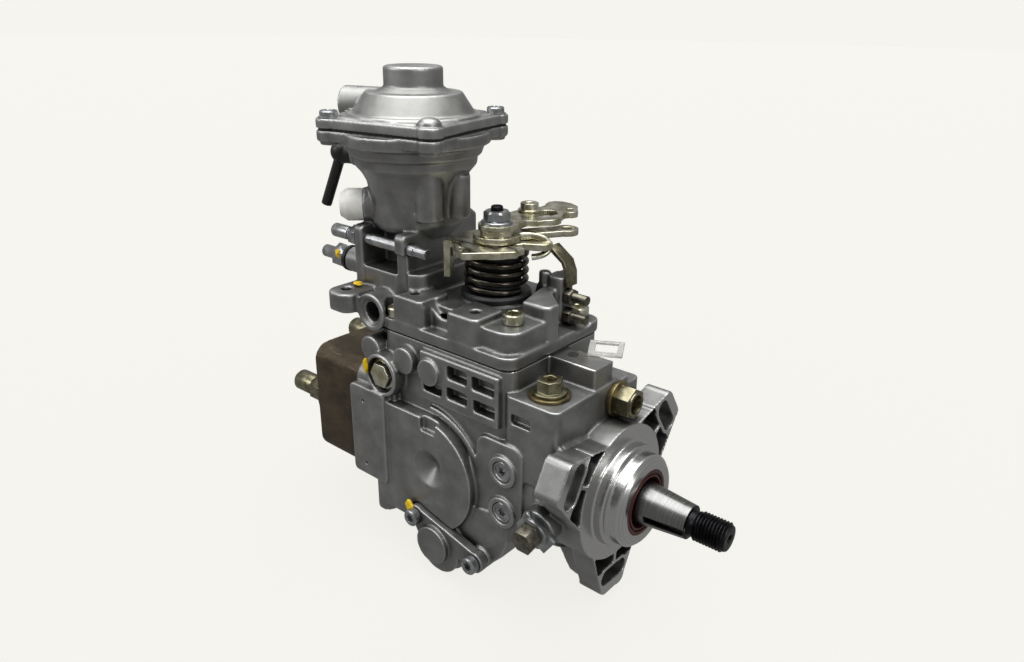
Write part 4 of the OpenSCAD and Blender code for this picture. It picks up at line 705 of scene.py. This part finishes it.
fasteners("timing_cap_screws", clear_zinc, timing_head,
    [((x, 45.0 * s, z), AWAY if s > 0 else TOWARD) for x, z in ((-93, -32), (-53.5, -41.5))
    for s in (1, -1)], "timing_cover_screws")
head_cap = [(0, -30), (2.9, -30), (2.9, 0), (4.6, 0), (5, 0.4), (5, 5), (4.5, 5.6), (3.3, 5.6),
    (flats(5.6), 5.3), (flats(5.5), 2.6), (0, 2.2)]
head_corners = [(-31, 29), (34.5, 9), (-31, -21), (31, -21)]
fasteners("head_cap_screws", black_oxide, head_cap,
    [((-171.5, y, z), BACKWARD) for y, z in head_corners], "head_screws")
plug_form = [(0, -5.5), (5.3, -5.5), (5.3, -0.5), (4.9, -0.1), (4.1, -0.1), (3.9, -0.6),
    (2.6, -0.7), (lobes(2.4, 0.35), -0.8), (lobes(2.2, 0.35), -2.2), (0, -2.4)]
fasteners("access_plug_pair", plain_steel, plug_form,
    [((-41, -39, z), TOWARD) for z in (12, -10)], "access_plugs")


def wire_coil(name, material, sizes, place, node, body):
    """A wound wire, made by a node tree from its turns, mean radius, wire and height."""
    tree = bpy.data.node_groups.new(name + " winding", "GeometryNodeTree")
    face = tree.interface
    face.new_socket("Geometry", in_out="OUTPUT", socket_type="NodeSocketGeometry")
    for label in sizes:
        face.new_socket(label, in_out="INPUT", socket_type="NodeSocketFloat")
    given = add(tree, "NodeGroupInput").outputs
    path = add(tree, "GeometryNodeCurveSpiral", {"Resolution": 48, "Rotations": given["Turns"],
        "Start Radius": given["Radius"], "End Radius": given["Radius"],
        "Height": given["Height"]})
    round_wire = add(tree, "GeometryNodeCurvePrimitiveCircle", {"Resolution": 14,
        "Radius": given["Wire"]})
    tube = add(tree, "GeometryNodeCurveToMesh", {"Curve": path.outputs[0],
        "Profile Curve": round_wire.outputs[0], "Fill Caps": True})
    lifted = add(tree, "GeometryNodeTransform", {"Geometry": tube.outputs[0],
        "Translation": place})
    solid = add(tree, "GeometryNodeRealizeInstances", {0: lifted.outputs[0]})
    coated = add(tree, "GeometryNodeSetMaterial", {0: solid.outputs[0], "Material": material})
    add(tree, "NodeGroupOutput", {0: coated.outputs[0]})
    piece = mesh_object(name, bpy.data.meshes.new(name))
    modifier = piece.modifiers.new("winding", "NODES")
    modifier.node_group = tree
    for item in face.items_tree:
        if item.in_out == "INPUT":
            modifier[item.identifier] = sizes[item.name]
    settle(piece)
    piece.data.shade_smooth()
    return finish_piece(piece, None, [node], body)


low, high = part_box("throttle_spring")
inset = 1.6 * MM
spring_sizes = {"Turns": 4.0, "Radius": (high[0] - low[0]) / 2 - inset, "Wire": 1.5 * MM,
    "Height": high[2] - low[2] - 2 * inset}
wire_coil("return_spring", spring_wire, spring_sizes,
    (THROTTLE_AT[0] * MM, THROTTLE_AT[1] * MM, low[2] + inset), "throttle_spring", "housing")


def thread_ridge(name, material, radius, depth, pitch, length, place, axis, body):
    """The ridge of a screw thread as one closed tube of three sides. Its base is sunk in
    the core, and both ends run out."""
    steps = 36  # in one turn
    sink = 0.15
    blunt = 0.02
    count = int(steps * length / pitch)
    turn = Vector(axis).to_track_quat("Z", "Y")
    verts, faces = [], []
    for k in range(count + 1):
        fade = min(1, 2.5 * k / steps, 2.5 * (count - k) / steps)
        t = 2 * math.pi * k / steps
        z = length * k / count
        half = pitch * 0.5 * max(fade, 0.08)
        foot = radius - depth - sink
        crest = radius - depth * (1 - fade) - blunt
        for reach, rise in ((foot, half), (crest, 0), (foot, -half)):
            spot = turn @ Vector((reach * math.cos(t), reach * math.sin(t), z + rise))
            verts.append([(spot[i] + place[i]) * MM for i in range(3)])
    for k in range(count):
        for m in range(3):
            a, b = 3 * k + m, 3 * k + (m + 1) % 3
            faces.append((a, b, b + 3, a + 3))
    faces += [(2, 1, 0), (3 * count, 3 * count + 1, 3 * count + 2)]
    mesh = bpy.data.meshes.new(name)
    mesh.from_pydata(verts, [], faces)
    work = bmesh.new()
    work.from_mesh(mesh)
    bmesh.ops.recalc_face_normals(work, faces=work.faces)
    work.to_mesh(mesh)
    work.free()
    piece = mesh_object(name, mesh)
    return finish_piece(piece, material, [], body)


def drive_shaft(key_turn, slot_from, slot_to, root_from, root_radius):
    """The ground shaft, turned so that its key slot faces the camera. Its end is turned
    down to the root of the thread."""
    piece = merged_copy("drive_shaft", "drive_shaft_finished")
    piece.data.transform(Matrix.Rotation(math.radians(key_turn), 4, "X"))
    break_edges(piece, 0.3 * MM)
    for v in piece.data.vertices:
        reach = math.hypot(v.co.y, v.co.z)
        if v.co.x > root_from and reach > root_radius:
            v.co.y *= root_radius / reach
            v.co.z *= root_radius / reach
    piece.data.shade_smooth()
    piece.data.set_sharp_from_angle(angle=CRISP_FROM)
    finish_piece(piece, shaft_steel, ["drive_shaft"])
    piece.data.materials.append(black_oxide)
    for face in piece.data.polygons:
        # The threaded end is black; the sunk faces of the key slot are black too, as painted shade
        # in the slot
        outward = abs(face.normal.y * face.center.y + face.normal.z * face.center.z)
        sunk = outward < 0.75 * face.center.yz.length
        if face.center.x > slot_to or (sunk and face.center.x > slot_from):
            face.material_index = 1


drive_shaft(-18, 17 * MM, 36 * MM, 38.2 * MM, 6.05 * MM)
thread_ridge("shaft_thread", black_oxide, 7.0, 0.95, 1.5, 14.6, (38.8, 0, 0), FORWARD,
    "drive_train")


# Floor and lights

floor_z = cad_box[0][2] - 0.2 * MM
bpy.ops.mesh.primitive_plane_add(size=14, location=(0, 0, floor_z))
floor = bpy.context.object
floor.name = "floor"
paper = start_material("pale backdrop paper", Roughness=0.9, Base_Color=linear("#a8a7a3"),
    Emission_Color=linear("#f5f4ee"), Emission_Strength=0.875)[0]
floor.data.materials.append(paper)
bpy.ops.mesh.primitive_uv_sphere_add(segments=48, ring_count=24, radius=6.9)
backdrop = bpy.context.object
backdrop.name = "backdrop"
backdrop.data.flip_normals()
glow = start_material("pale backdrop wall", Roughness=1.0, Base_Color=(0, 0, 0, 1),
    Emission_Color=linear("#f5f4ee"), Emission_Strength=1.0)[0]
backdrop.data.materials.append(glow)
for staged in (floor, backdrop):
    # The photograph's pale ground throws no light on the undersides
    staged.visible_glossy = False
    staged.visible_diffuse = False
    staged.visible_transmission = False
    staged.visible_shadow = False
unlit = bpy.data.collections.new("left out of the softboxes")
unlit.objects.link(floor)
unlit.objects.link(backdrop)
for member in unlit.collection_objects:
    member.light_linking.link_state = "EXCLUDE"


def soft_light(name, place, size, power):
    """A square softbox that faces the middle of the pump and leaves the backdrop alone."""
    lamp = bpy.data.lights.new(name, "AREA")
    lamp.size = size
    lamp.energy = power
    made = bpy.data.objects.new(name, lamp)
    bpy.context.scene.collection.objects.link(made)
    made.location = place
    made.light_linking.receiver_collection = unlit
    middle = Vector((-0.075, 0.0, 0.045))
    made.rotation_euler = (Vector(place) - middle).to_track_quat("Z", "Y").to_euler()


soft_light("overhead softbox", (-0.2, -0.05, 1.5), 1.7, 38)
soft_light("right softbox", (1.1, -0.3, 0.8), 0.45, 5)
soft_light("left softbox", (-0.9, -1.0, 0.75), 0.5, 5)
world = bpy.data.worlds.new("studio")
world.use_nodes = True
world.node_tree.nodes["Background"].inputs["Color"].default_value = (1.0, 0.99, 0.97, 1)
world.node_tree.nodes["Background"].inputs["Strength"].default_value = 0.3
bpy.context.scene.world = world
bpy.context.scene.view_settings.view_transform = "Standard"

# Camera, solved from the photograph
FRAME_PIXELS = 1024
FOCAL_PIXELS = 799.78
CAMERA_AT = Vector((161.967, -277.710, 210.185)) * MM
turn, rise, roll = math.radians(39.647), math.radians(22.259), math.radians(0.818)
back = Vector((math.sin(turn) * math.cos(rise), -math.cos(turn) * math.cos(rise),
    math.sin(rise)))
right = Vector((math.cos(turn), math.sin(turn), 0))
up = back.cross(right)
right_rolled = math.cos(roll) * right + math.sin(roll) * up
up_rolled = math.cos(roll) * up - math.sin(roll) * right
lens = bpy.data.cameras.new("camera")
lens.lens = FOCAL_PIXELS * lens.sensor_width / FRAME_PIXELS
camera = bpy.data.objects.new("camera", lens)
bpy.context.scene.collection.objects.link(camera)
camera.matrix_world = Matrix((
    (right_rolled.x, up_rolled.x, back.x, CAMERA_AT.x),
    (right_rolled.y, up_rolled.y, back.y, CAMERA_AT.y),
    (right_rolled.z, up_rolled.z, back.z, CAMERA_AT.z),
    (0, 0, 0, 1)))
bpy.context.scene.camera = camera
